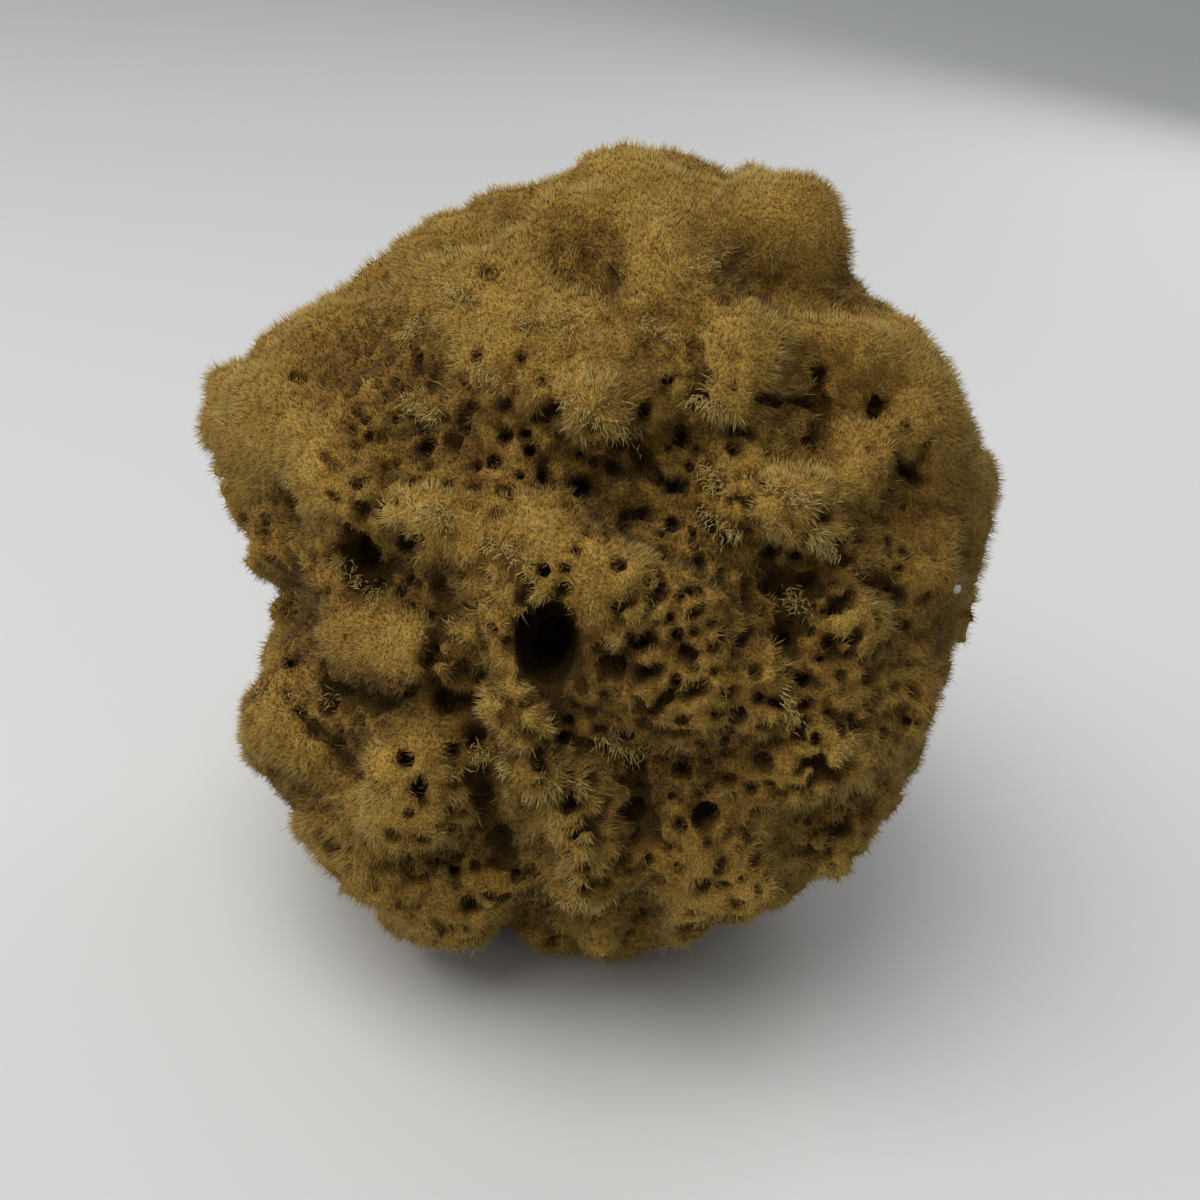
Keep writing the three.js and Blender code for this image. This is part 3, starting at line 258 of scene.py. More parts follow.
coarse_points = LOW + H * Q * np.stack(np.meshgrid(*[np.arange(n) for n in COARSE], indexing="ij"), -1)
macro = finer(envelope(coarse_points.reshape(-1, 3)).reshape(tuple(COARSE)).astype(np.float32))
SHAPE = macro.shape


def noise(step, seed):
    """Smooth random values, about -1 to 1, one lattice point every `step` fine steps."""
    r = np.random.default_rng(seed)
    n = [int(math.ceil((s - 1) / step)) + 1 for s in SHAPE]
    g = finer(r.uniform(-1, 1, n).astype(np.float32), step)
    return g[:SHAPE[0], :SHAPE[1], :SHAPE[2]]


def sample(g, p):
    """Trilinear values of a grid at points in mm."""
    x = (p - LOW) / H
    i = np.clip(np.floor(x).astype(int), 0, np.array(SHAPE) - 2)
    t = np.clip(x - i, 0, 1)
    out = 0
    for a in (0, 1):
        for b in (0, 1):
            for c in (0, 1):
                w = (t[:, 0] if a else 1 - t[:, 0]) * (t[:, 1] if b else 1 - t[:, 1]) * (t[:, 2] if c else 1 - t[:, 2])
                out = out + w * g[i[:, 0] + a, i[:, 1] + b, i[:, 2] + c]
    return out


def slope(g, p, e=1.2):
    n = np.stack([sample(g, p + e * np.eye(3)[k]) - sample(g, p - e * np.eye(3)[k]) for k in range(3)], -1)
    return n / (np.linalg.norm(n, axis=1, keepdims=True) + 1e-9)


lattice_z = (LOW[2] + H * np.arange(SHAPE[2], dtype=np.float32))[None, None, :]
lattice_x = (LOW[0] + H * np.arange(SHAPE[0], dtype=np.float32))[:, None, None]
patch = noise(24, 11)   # patches about 20 mm across


def ramp(v, a, b):
    t = np.clip((v - a) / (b - a), 0, 1)
    return t * t * (3 - 2 * t)


# plush: 1 where the coat is even velvet, 0 where the surface is a honeycomb of pits
plush = np.maximum(0.30 * ramp(lattice_z + 9 * patch, 100, 114) + 0.36 * ramp(lattice_z + 7 * patch, 124, 140), ramp(-lattice_x + 0.45 * (lattice_z - 95) + 6 * patch, 44, 60) * ramp(lattice_z, 76, 90))
plush = np.maximum(plush, 0.9 * ramp(lattice_x + 0.25 * (lattice_z - 90) + 5 * patch, 52, 64) * ramp(lattice_z, 62, 82))
plush = np.maximum(plush, 0.6 * ramp(-lattice_x + 5 * patch, 52, 64) * ramp(-lattice_z, -52, -40))

EYE = CENTRE - 306 * away + (555 - 600) / 1600 * 306 * upward


def seen_point(px, py):
    """Where a line from the viewing side meets the plain surface."""
    v = away + (px - 600) / 1600 * across - (py - 600) / 1600 * upward
    v = v / np.linalg.norm(v)
    p = EYE + np.arange(200.0, 420, 0.25)[:, None] * v
    f = sample(macro, p)
    i = np.where(f < 0)[0]
    return p[i[0] if len(i) else int(np.argmin(f))]


def add(grid, p0, p1, r, k=1.6):
    """Joins a rounded bar to a grid."""
    lo = np.maximum(np.floor((np.minimum(p0, p1) - r - 5 - LOW) / H).astype(int), 0)
    hi = np.minimum(np.ceil((np.maximum(p0, p1) + r + 5 - LOW) / H).astype(int) + 1, SHAPE)
    g = np.stack(np.meshgrid(*[LOW[k_] + H * np.arange(lo[k_], hi[k_]) for k_ in range(3)], indexing="ij"), -1)
    v = p1 - p0
    t = np.clip(((g - p0) @ v) / (v @ v + 1e-9), 0, 1)
    d = np.sqrt(((g - p0 - t[..., None] * v) ** 2).sum(-1)) - r
    box_ = grid[lo[0]:hi[0], lo[1]:hi[1], lo[2]:hi[2]]
    m = np.clip(0.5 + 0.5 * (box_ - d) / k, 0, 1)
    grid[lo[0]:hi[0], lo[1]:hi[1], lo[2]:hi[2]] = box_ * (1 - m) + d * m - k * m * (1 - m)


def swell(points, r, rise_by):
    """A rounded ridge along points of the seen side."""
    line = np.array([seen_point(*q) for q in points])
    line = line - slope(macro, line) * (r - rise_by)
    for a, b in zip(line[:-1], line[1:]):
        add(macro, a, b, r)


def velvet(px, py, r, amount):
    """A part of the seen side with an even coat."""
    c = seen_point(px, py)
    lo = np.maximum(np.floor((c - 2.2 * r - LOW) / H).astype(int), 0)
    hi = np.minimum(np.ceil((c + 2.2 * r - LOW) / H).astype(int) + 1, SHAPE)
    g = np.stack(np.meshgrid(*[LOW[k_] + H * np.arange(lo[k_], hi[k_]) for k_ in range(3)], indexing="ij"), -1)
    part = plush[lo[0]:hi[0], lo[1]:hi[1], lo[2]:hi[2]]
    np.maximum(part, amount * np.exp(-(((g - c) ** 2).sum(-1) / (r * r)) ** 1.5), out=part)
    SMOOTH.append((c, r * 0.8))


SMOOTH = []
for spot_ in ((500, 704, 5, 1.0), (526, 724, 5, 1.0), (355, 640, 9, 0.85), (400, 645, 6, 0.7), (285, 725, 9, 0.9), (300, 760, 8, 0.7), (408, 735, 7, 0.9), (395, 790, 5, 0.5),
              (345, 835, 7, 0.6), (450, 540, 6, 0.6), (520, 530, 7, 0.6), (590, 610, 5, 0.6), (820, 330, 7, 0.5), (720, 330, 6, 0.5), (860, 470, 8, 0.5)):
    velvet(*spot_)
for pts, r, up_by in (([(484, 696), (512, 714), (536, 730)], 5.2, 3.4), ([(572, 700), (590, 715)], 5.0, 1.4), ([(352, 645), (400, 638)], 10.0, 2.2),
                      ([(410, 505), (440, 530), (500, 560)], 8.0, 2.2), ([(600, 402), (604, 410)], 8.0, 1.3), ([(800, 488), (806, 496)], 8.0, 1.3),
                      ([(716, 412), (726, 408)], 7.0, 1.0), ([(380, 760), (420, 752)], 9.0, 2.4), ([(548, 770), (580, 790), (590, 830)], 7.0, 2.0),
                      ([(755, 600), (775, 660), (765, 720)], 8.0, 2.0), ([(620, 610), (640, 660)], 7.0, 1.5), ([(700, 620), (720, 680)], 9.0, 1.5),
                      ([(268, 735), (300, 752)], 8.0, 1.5), ([(455, 300), (440, 330)], 6.0, 1.5), ([(415, 405), (420, 420)], 5.0, 1.2)):
    swell(pts, r, up_by)

# ridges stand out and valleys go deeper than in the broad form
kept = macro[::Q, ::Q, ::Q]
crest = soften(kept, 7) - kept
crest -= np.median(crest[np.abs(kept) < 3])
crest = finer(np.clip(crest, -2.2, 2.2).astype(np.float32))
print("crest", float(crest[np.abs(macro) < 1].std()))
macro -= CREST_GAIN * crest * (1 - 0.5 * plush)


def cells(step, seed):
    """Distances to the nearest and the second nearest of scattered points, near the surface, in steps."""
    at_ = np.argwhere(near_surface).astype(np.float32)
    q = at_ * (H / step)
    base = np.floor(q).astype(np.int32)
    r = np.random.default_rng(seed)
    table = r.random(tuple(base.max(0) + 3) + (3,)).astype(np.float32)
    f1 = np.full(len(q), 9, np.float32)
    f2 = f1.copy()
    for a in (0, 1, 2):
        for b in (0, 1, 2):
            for c in (0, 1, 2):
                k_ = base + np.array([a, b, c], np.int32)
                pt = table[k_[:, 0], k_[:, 1], k_[:, 2]] + (k_ - 1)
                d = ((q - pt) ** 2).sum(1)
                f2 = np.minimum(f2, np.maximum(f1, d))
                f1 = np.minimum(f1, d)
    return np.sqrt(f1), np.sqrt(f2)


INSET = 1.5
near_surface = (macro > -9) & (macro < 0.8)
pitted = (1 - plush)[near_surface] * (0.75 + 0.45 * np.clip(noise(16, 21)[near_surface], -1, 1))
fuzz = plush[near_surface]
small1, small2 = cells(3.0, 31)
large1, large2 = cells(7.5, 32)
tuft = 1.3 * small1 ** 2 + 0.5 * (1 - ramp(small2 - small1, 0, 0.4))
lump = 0.9 * large1 ** 2 + 0.6 * (1 - ramp(large2 - large1, 0, 0.35))
relief = pitted * (1.55 * tuft + 0.8 * lump - 0.7) + fuzz * (0.8 * tuft + 0.4 * lump - 0.3)
body = macro + INSET + 0.15 * plush
body[near_surface] += relief
middle = np.full(SHAPE, 0.45, np.float32)      # 0 at the middle of a tuft, up to about 1 between tufts
middle[near_surface] = small1 + 0.25 * (1 - ramp(small2 - small1, 0, 0.3))
broad = np.full(SHAPE, 0.45, np.float32)
broad[near_surface] = large1
body -= 0.35 * (1 - plush) * noise(3, 13)


def carve(p0, p1, r0, r1, k=0.5, stretch=None):
    """Takes a round tapering tube out of the body."""
    lo = np.floor((np.minimum(p0, p1) - max(r0, r1) * 1.6 - 2 - LOW) / H).astype(int)
    hi = np.ceil((np.maximum(p0, p1) + max(r0, r1) * 1.6 + 2 - LOW) / H).astype(int) + 1
    lo, hi = np.maximum(lo, 0), np.minimum(hi, SHAPE)
    if (hi <= lo).any():
        return
    g = np.stack(np.meshgrid(*[LOW[k_] + H * np.arange(lo[k_], hi[k_]) for k_ in range(3)], indexing="ij"), -1)
    v = p1 - p0
    q = g - p0
    t = np.clip((q @ v) / (v @ v), 0, 1)
    w = q - t[..., None] * v
    if stretch is not None:
        axis, factor = stretch
        along_axis = w @ axis
        w = w - along_axis[..., None] * axis * (1 - 1 / factor)
    d = (r0 + (r1 - r0) * t) - np.sqrt((w ** 2).sum(-1))
    box_ = body[lo[0]:hi[0], lo[1]:hi[1], lo[2]:hi[2]]
    m = np.clip(0.5 + 0.5 * (d - box_) / k, 0, 1)
    body[lo[0]:hi[0], lo[1]:hi[1], lo[2]:hi[2]] = box_ * (1 - m) + d * m + k * m * (1 - m)


# the main opening and the side crater, and the other large ones
for n_, (x, y, z, ax, ay, az, ux, uy, uz, half_w, half_l, depth) in enumerate(OPENINGS):
    p, out, long_ = np.array([x, y, z]), np.array([ax, ay, az]), np.array([ux, uy, uz])
    if n_ == 0:
        a, b, c = p + out * 4, p - out * 16, p - out * 30 + np.array([5.0, 0, -3])
        carve(a, b, half_w * 1.2, half_w * 1.0, 1.2, (long_, 1.42))
        carve(b, c, half_w * 0.9, half_w * 0.5, 0.8)
        carve(b, b - out * 8 + np.array([-9, 2, 3.0]), half_w * 0.6, half_w * 0.35, 0.8)
        low = p - long_ * half_l * 1.15
        carve(low + out * 4, low - out * 9, 2.3, 1.7, 0.6)
        carve(low + long_ * 2.5 + out * 4, low + long_ * 2.5 - out * 9, 3.4, 2.6, 0.6)
    else:
        carve(p + out * 3, p - out * depth, half_w * 0.95, half_w * 0.55, 0.6, (long_, half_l / half_w))

def furrow(points, r, depth):
    """A crease along points of the seen side."""
    line = []
    for a, b in zip(points[:-1], points[1:]):
        for t in np.linspace(0, 1, 5)[:-1]:
            line.append(seen_point(a[0] + t * (b[0] - a[0]), a[1] + t * (b[1] - a[1])))
    line.append(seen_point(*points[-1]))
    line = np.array(line)
    nn = slope(macro, line)
    wob = rng.uniform(0.45, 1.15, len(line))
    line = line + rng.normal(0, 0.5, line.shape)
    for share, width in ((0.1, 0.9), (0.55, 0.75), (1.0, 0.45)):
        q = line - nn * (INSET + share * depth * wob[:, None])
        for i_, (a, b) in enumerate(zip(q[:-1], q[1:])):
            if np.linalg.norm(b - a) < 12:
                carve(a, b, r * width * wob[i_], r * width * wob[i_ + 1], 0.9)


# small lobes and creases of the seen side
for pts, r, depth in (
    ([(462, 676), (500, 690), (548, 698)], 1.0, 2.6), ([(470, 706), (505, 734), (540, 752)], 1.2, 3.5), ([(556, 700), (562, 722), (566, 746)], 1.1, 3.5),
    ([(322, 688), (370, 704), (430, 700), (470, 706)], 1.7, 4.5), ([(285, 688), (318, 728), (352, 772)], 1.0, 2.6), ([(352, 772), (372, 800)], 0.9, 1.8),
    ([(478, 778), (486, 810), (500, 862)], 2.3, 6.0), ([(500, 862), (530, 880)], 1.4, 3.0), ([(640, 782), (644, 812), (652, 842)], 2.2, 5.5),
    ([(822, 372), (824, 405), (814, 440)], 1.4, 3.5), ([(768, 402), (800, 399)], 1.1, 2.5), ([(848, 562), (880, 582), (906, 600)], 1.1, 2.5),
    ([(768, 570), (790, 585), (812, 590)], 2.0, 4.0), ([(790, 600), (792, 640)], 1.8, 4.0), ([(432, 585), (436, 620), (432, 660)], 1.6, 3.0),
    ([(350, 540), (360, 558), (366, 582)], 3.4, 6.0), ([(392, 545), (410, 552)], 1.7, 4.0), ([(806, 872), (800, 892)], 1.6, 4.0),
    ([(500, 748), (560, 740), (600, 745)], 1.0, 2.0), ([(600, 655), (618, 672), (640, 680)], 1.2, 3.0),
    ([(440, 610), (470, 600)], 0.8, 1.2), ([(480, 540), (520, 575)], 0.8, 1.2), ([(640, 455), (652, 470)], 1.8, 3.0), ([(790, 730), (760, 760)], 1.0, 2.0),
    ([(545, 930), (552, 955)], 1.2, 2.5), ([(430, 925), (440, 945)], 1.0, 2.0), ([(700, 915), (690, 940)], 1.0, 2.0),
    ([(560, 260), (600, 285), (612, 262)], 1.2, 1.6), ([(690, 330), (705, 380)], 1.0, 1.6), ([(300, 600), (340, 606)], 0.9, 1.4)):
    furrow(pts, r, depth)

# pits read from the seen side
centre_pull = []
clear = [(seen_point(*q), reach) for q, reach in (((600, 402), 5), ((805, 492), 6.5), ((716, 410), 3.5), ((813, 273), 7), ((500, 560), 3), ((500, 706), 5), ((530, 726), 5))]
for x, y, z, r, dep in PITS:
    p = np.array([x, y, z])
    if any(((p - q) ** 2).sum() < reach ** 2 for q, reach in clear + SMOOTH):
        continue
    n = slope(macro, p[None])[0]
    n = n * 0.8 - away * 0.35
    n /= np.linalg.norm(n)
    side = rng.normal(0, 0.2, 3)
    r = r * 1.0
    carve(p + n * 1.5, p - (n + side) * (dep * 0.85 + INSET + 0.8), r * 1.4 + 0.4, max(r * 0.6, 0.6), 0.9)
    centre_pull.append((x, y, z, r))
for px, py, r in ((403, 761, 1.25), (419, 784, 1.0), (447, 700, 1.3)):
    p = seen_point(px, py)
    carve(p - away * 2, p + away * 9, r * 1.5, r, 0.5)
    centre_pull.append((*p, r * 1.1))


def body_surface(values):
    """Surface nets: vertices and quads of the zero surface."""
    s = values < 0
    corners = [(a, b, c) for a in (0, 1) for b in (0, 1) for c in (0, 1)]
    n = [d - 1 for d in values.shape]
    count = np.zeros(n, np.uint8)
    for a, b, c in corners:
        count += s[a:a + n[0], b:b + n[1], c:c + n[2]]
    active = (count > 0) & (count < 8)
    index = -np.ones(n, np.int32)
    cells = np.argwhere(active)
    index[active] = np.arange(len(cells))
    val = {k: values[cells[:, 0] + k[0], cells[:, 1] + k[1], cells[:, 2] + k[2]] for k in corners}
    total, hits = np.zeros((len(cells), 3)), np.zeros(len(cells))
    for k in corners:
        for ax in range(3):
            if k[ax] == 0:
                j = tuple(1 if i == ax else k[i] for i in range(3))
                fa, fb = val[k], val[j]
                cross = (fa < 0) != (fb < 0)
                t = np.where(cross, fa / np.where(fa == fb, 1, fa - fb), 0)
                pt = np.repeat(np.array([k], float), len(cells), 0)
                pt[:, ax] = t
                total += pt * cross[:, None]
                hits += cross
    verts = LOW + H * (cells + total / hits[:, None])
    quads = []
    for ax in range(3):
        u, v = (ax + 1) % 3, (ax + 2) % 3
        sl0 = [slice(None)] * 3
        sl1 = [slice(None)] * 3
        sl0[ax], sl1[ax] = slice(0, -1), slice(1, None)
        flip = s[tuple(sl0)] != s[tuple(sl1)]
        e = np.argwhere(flip)
        e = e[(e[:, u] > 0) & (e[:, v] > 0) & (e[:, u] < n[u]) & (e[:, v] < n[v])]
        inside_first = s[e[:, 0], e[:, 1], e[:, 2]]
        q = []
        for du, dv in ((-1, -1), (0, -1), (0, 0), (-1, 0)):
            c = e.copy()
            c[:, u] += du
            c[:, v] += dv
            q.append(index[c[:, 0], c[:, 1], c[:, 2]])
        q = np.stack(q, 1)
        q[~inside_first] = q[~inside_first][:, ::-1]
        quads.append(q)
    return verts, np.concatenate(quads)


# hidden pits: seeded over what the front view doesn't show
first_v, first_q = body_surface(np.maximum(body, -lattice_z))
quad_mid = first_v[first_q].mean(1)
eye = CENTRE - away * 306
pick = rng.permutation(len(quad_mid))[:26000]
taken = [np.array(c[:3]) for c in centre_pull]
tree_points = []
pm = quad_mid[pick]
nm = slope(macro, pm)
facing = ((eye - pm) / np.linalg.norm(eye - pm, axis=1, keepdims=True) * nm).sum(1)
pl = sample(plush, pm)
cell = {}


def near(p, gap):
    key = tuple((p // 8).astype(int))
    for a in (-1, 0, 1):
        for b in (-1, 0, 1):
            for c in (-1, 0, 1):
                for q, r in cell.get((key[0] + a, key[1] + b, key[2] + c), ()):
                    if ((p - q) ** 2).sum() < (gap + r) ** 2:
                        return True
    return False


def keep(p, r):
    cell.setdefault(tuple((p // 8).astype(int)), []).append((p, r))


for x, y, z, r in centre_pull:
    keep(np.array([x, y, z]), r)
added = 0
for p, n, fc, w in zip(pm, nm, facing, pl):
    seen = fc > 0.28
    if p[2] < 3 or (seen and (w > 0.3 or rng.random() > 0.25)):
        continue
    if w > 0.5 and rng.random() > 0.06:
        continue
    r = 0.5 + 0.35 * rng.random() if seen else 0.5 + 1.5 * rng.random() ** 3
    if near(p, r + (rng.uniform(0.9, 3.6) if not seen else 1.0)):
        continue
    keep(p, r)
    side = rng.normal(0, 0.25, 3)
    carve(p + n * 2, p - (n + side) * (2.4 + 2.4 * r) * rng.uniform(0.5, 1.2), r * rng.uniform(1.1, 1.6) + 0.35, max(r * 0.6, 0.6), 0.9)
    centre_pull.append((*(p + n * INSET), r * 0.8))
    added += 1
print("pits", len(PITS), added)

body = np.maximum(body, -lattice_z)
# nothing stays loose: what isn't joined to the middle is taken away
solid = body < 0
joined = macro < -14
joined &= solid
for _ in range(400):
    before = int(joined.sum())
    for ax in range(3):
        for way in (0, 1):
            a = [slice(None)] * 3
            b = [slice(None)] * 3
            a[ax], b[ax] = (slice(1, None), slice(0, -1)) if way else (slice(0, -1), slice(1, None))
            joined[tuple(a)] |= joined[tuple(b)] & solid[tuple(a)]
    if int(joined.sum()) == before:
        break
loose = solid & ~joined
print("loose", int(loose.sum()))
body[loose] = 0.3
verts, quads = body_surface(body)
print("body surface", len(verts), len(quads))


# ---------------------------------------------------------------- meshes
def to_row(p):
    return (p + SHIFT) * MM


def make_object(name, points, faces, sides, smooth=True):
    me = bpy.data.meshes.new(name)
    me.vertices.add(len(points))
    me.vertices.foreach_set("co", np.ascontiguousarray(points, np.float32).ravel())
    me.loops.add(len(faces) * sides)
    me.loops.foreach_set("vertex_index", np.ascontiguousarray(faces, np.int32).ravel())
    me.polygons.add(len(faces))
    me.polygons.foreach_set("loop_start", np.arange(0, len(faces) * sides, sides, dtype=np.int32))
    me.update(calc_edges=True)
    me.validate()
    if smooth:
        me.polygons.foreach_set("use_smooth", np.ones(len(me.polygons), bool))
    ob = bpy.data.objects.new(name, me)
    bpy.context.scene.collection.objects.link(ob)
    return ob


BODY_FACES = 170000
core = make_object("sponge_body", to_row(verts), quads, 4)
bpy.context.view_layer.objects.active = core
mod = core.modifiers.new("fewer", "DECIMATE")
mod.ratio = min(1.0, BODY_FACES / (2 * len(quads)))
deps = bpy.context.evaluated_depsgraph_get()
lighter = bpy.data.meshes.new_from_object(core.evaluated_get(deps))
core.modifiers.clear()
core.data = lighter
core.data.name = "sponge_body"
core.data.polygons.foreach_set("use_smooth", np.ones(len(core.data.polygons), bool))
print("body faces", len(lighter.polygons))


def put_value(me, name, values):
    at = me.attributes.new(name, "FLOAT", "POINT")
    at.data.foreach_set("value", np.ascontiguousarray(values, np.float32))


me = core.data
bv = np.empty(len(me.vertices) * 3, np.float32)
me.vertices.foreach_get("co", bv)
bv = bv.reshape(-1, 3) / MM - SHIFT
# painted shade: the skeleton's colour darkens with depth below the broad form and in valleys, in place of the shade
# that falls in pits and creases
put_value(me, "sunk", np.clip((-sample(macro, bv) - INSET - 0.35 * np.clip(sample(crest, bv), -2, 2) + 0.3) / 7, 0, 1))

# ---------------------------------------------------------------- fibres
me.calc_loop_triangles()
tri = np.empty(len(me.loop_triangles) * 3, np.int32)
me.loop_triangles.foreach_get("vertices", tri)
tri = tri.reshape(-1, 3)
A, B, C = bv[tri[:, 0]], bv[tri[:, 1]], bv[tri[:, 2]]
cr = np.cross(B - A, C - A)
area = np.linalg.norm(cr, axis=1) / 2
tri_n = cr / (2 * area[:, None] + 1e-12)
tri_mid = (A + B + C) / 3
tri_sunk = -sample(macro, tri_mid) - INSET           # mm below the plain surface
tri_plush = sample(plush, tri_mid)
tri_macro = slope(macro, tri_mid)
tri_face = ((eye - tri_mid) / np.linalg.norm(eye - tri_mid, axis=1, keepdims=True) * tri_macro).sum(1)


def cells_of(points, count, seed):
    """Random tuft centres, and for each point the nearest one's index and offset."""
    r = np.random.default_rng(seed)
    w = area / area.sum()
    centres = tri_mid[r.choice(len(tri_mid), count, p=w)]
    kd = kdtree.KDTree(count)
    for i, c in enumerate(centres):
        kd.insert(c, i)
    kd.balance()
    near_i = np.array([kd.find(p)[1] for p in points])
    return near_i, points - centres[near_i]


def roots(count, weight, seed):
    r = np.random.default_rng(seed)
    w = area * weight
    i = r.choice(len(area), count, p=w / w.sum())
    a, b = r.random(count), r.random(count)
    over = a + b > 1
    a[over], b[over] = 1 - a[over], 1 - b[over]
    p = A[i] + a[:, None] * (B[i] - A[i]) + b[:, None] * (C[i] - A[i])
    return p, i


def unit(v):
    return v / (np.linalg.norm(v, axis=1, keepdims=True) + 1e-9)


def frame_of(direction):
    ref = np.where(np.abs(direction[:, 2:3]) < 0.9, np.array([[0, 0, 1.0]]), np.array([[1.0, 0, 0]]))
    s = unit(np.cross(direction, ref))
    return s, np.cross(direction, s)


def spikes(name, root, direction, length, width, tone_and_shading, turn):
    """Closed three-sided spikes: four faces each."""
    n = len(root)
    s, t = frame_of(direction)
    pts = np.empty((n, 4, 3))
    for k in range(3):
        a = turn + k * 2 * np.pi / 3
        pts[:, k] = root + (np.cos(a) * width)[:, None] * s * 0.58 + (np.sin(a) * width)[:, None] * t * 0.58
    pts[:, 3] = root + direction * length[:, None]
    faces = np.array([(0, 1, 3), (1, 2, 3), (2, 0, 3), (0, 2, 1)])
    along = np.tile([0, 0, 0, 1.0], n)
    return strands(name, pts, faces, along, np.repeat(tone_and_shading, 4))


def hooks(name, root, d0, d1, length, width, tone_and_shading, turn):
    """Closed bent strands: ten faces each."""
    n = len(root)
    s, t = frame_of(d0)
    mid = root + d0 * (length * 0.5)[:, None]
    tip = mid + d1 * (length * 0.5)[:, None]
    pts = np.empty((n, 7, 3))
    for k in range(3):
        a = turn + k * 2 * np.pi / 3
        off = (np.cos(a) * width)[:, None] * s * 0.58 + (np.sin(a) * width)[:, None] * t * 0.58
        pts[:, k] = root + off
        pts[:, 3 + k] = mid + off * 0.8
    pts[:, 6] = tip
    faces = np.array([(0, 1, 4), (0, 4, 3), (1, 2, 5), (1, 5, 4), (2, 0, 3), (2, 3, 5),
                      (3, 4, 6), (4, 5, 6), (5, 3, 6), (0, 2, 1)])
    along = np.tile([0, 0, 0, 0.5, 0.5, 0.5, 1.0], n)
    return strands(name, pts, faces, along, np.repeat(tone_and_shading, 7))


def strands(name, pts, faces, along, tone_and_shading):
    n, k = pts.shape[:2]
    all_faces = (faces[None] + (np.arange(n) * k)[:, None, None]).reshape(-1, 3)
    ob = make_object(name, to_row(pts.reshape(-1, 3)), all_faces, 3)
    m = ob.data
    put_value(m, "tone_and_shading", tone_and_shading)
    put_value(m, "along", along)
    uv = m.uv_layers.new(name="OFBake")
    loops = np.empty(len(m.loops), np.int32)
    m.loops.foreach_get("vertex_index", loops)
    uv.data.foreach_set("uv", np.stack([0.02 + 0.96 * tone_and_shading[loops], 0.02 + 0.96 * along[loops]], 1).astype(np.float32).ravel())
    return ob


# starburst tufts: place, radius
BURSTS = []


for px, py, rr, gain in ((600, 402, 5.5, 1.0), (716, 410, 4.2, .8), (800, 490, 5.5, 1.0), (822, 545, 3.0, .8), (452, 298, 4.5, 1.1),
                         (408, 408, 3.8, 1.0), (425, 515, 4.0, .9), (395, 500, 3.0, .7), (476, 250, 3.5, .5), (770, 250, 4.0, .6),
                         (640, 545, 3.0, .5), (505, 560, 4.5, .4), (556, 600, 4.5, .5), (600, 625, 3.5, .5), (500, 625, 3.5, .4),
                         (595, 790, 4.5, .7), (545, 800, 4.0, .6), (575, 850, 4.0, .5), (470, 770, 4.0, .5), (880, 600, 3.0, .5), (660, 560, 2.5, .5), (350, 380, 3.5, .4), (430, 700, 3, .4)):
    BURSTS.append((*seen_point(px, py), rr, gain))
BURSTS = np.array(BURSTS)


# combed parts: place, reach, the way the fibres lie, how strongly, how much longer
COMBED = []
for px, py, rr, dx, dy, comb, more in ((300, 790, 9, -0.6, 0.7, 0.9, 0.6), (345, 850, 8, -0.35, 0.8, 0.8, 0.5), (262, 740, 7, -0.8, 0.4, 0.8, 0.5),
                                       (925, 640, 8, -0.1, 1.0, 0.8, 0.2), (905, 720, 9, -0.2, 0.95, 0.7, 0.2), (570, 800, 7, 0.1, 0.9, 0.7, 0.5),
                                       (880, 600, 6, 0.5, 0.85, 0.8, 0.2), (560, 250, 9, 0.15, -0.9, 0.5, 0.3), (470, 545, 7, 0.3, 0.7, 0.6, 0.2),
                                       (325, 400, 10, -0.5, 0.75, 0.5, 0.2), (700, 290, 9, 0.1, 0.8, 0.4, 0.2), (850, 800, 10, 0.3, 0.9, 0.6, 0.2),
                                       (600, 900, 10, 0.0, 1.0, 0.6, 0.2), (430, 880, 9, -0.3, 0.9, 0.6, 0.3), (380, 700, 5, -0.2, 0.95, 0.8, 0.3)):
    COMBED.append((*seen_point(px, py), rr, *(dx * across - dy * upward), comb, more))

# painted light and shade: patches made paler where the light falls brighter and browner where it falls dimmer: place,
# reach, change
LIT_AND_SHADED_PATCHES = [(*seen_point(px, py), rr, more) for px, py, rr, more in (
    (305, 645, 13, -0.16), (330, 780, 11, -0.10), (560, 800, 10, 0.22), (520, 190, 16, 0.10), (600, 160, 14, 0.08), (700, 200, 12, 0.06), (470, 790, 8, 0.10), (800, 300, 9, -0.03), (620, 300, 14, -0.07), (400, 330, 12, -0.05),
    (860, 440, 13, 0.12), (940, 640, 14, -0.20), (760, 700, 18, -0.08), (640, 480, 12, -0.08), (700, 560, 10, -0.10), (520, 730, 6, 0.12), (440, 500, 6, 0.10))]

HOLES = np.array(centre_pull)
hole_tree = kdtree.KDTree(len(HOLES))
for i, c in enumerate(HOLES):
    hole_tree.insert(c[:3], i)
hole_tree.balance()
main_hole = OPENINGS[0]
TUFTS = 11000


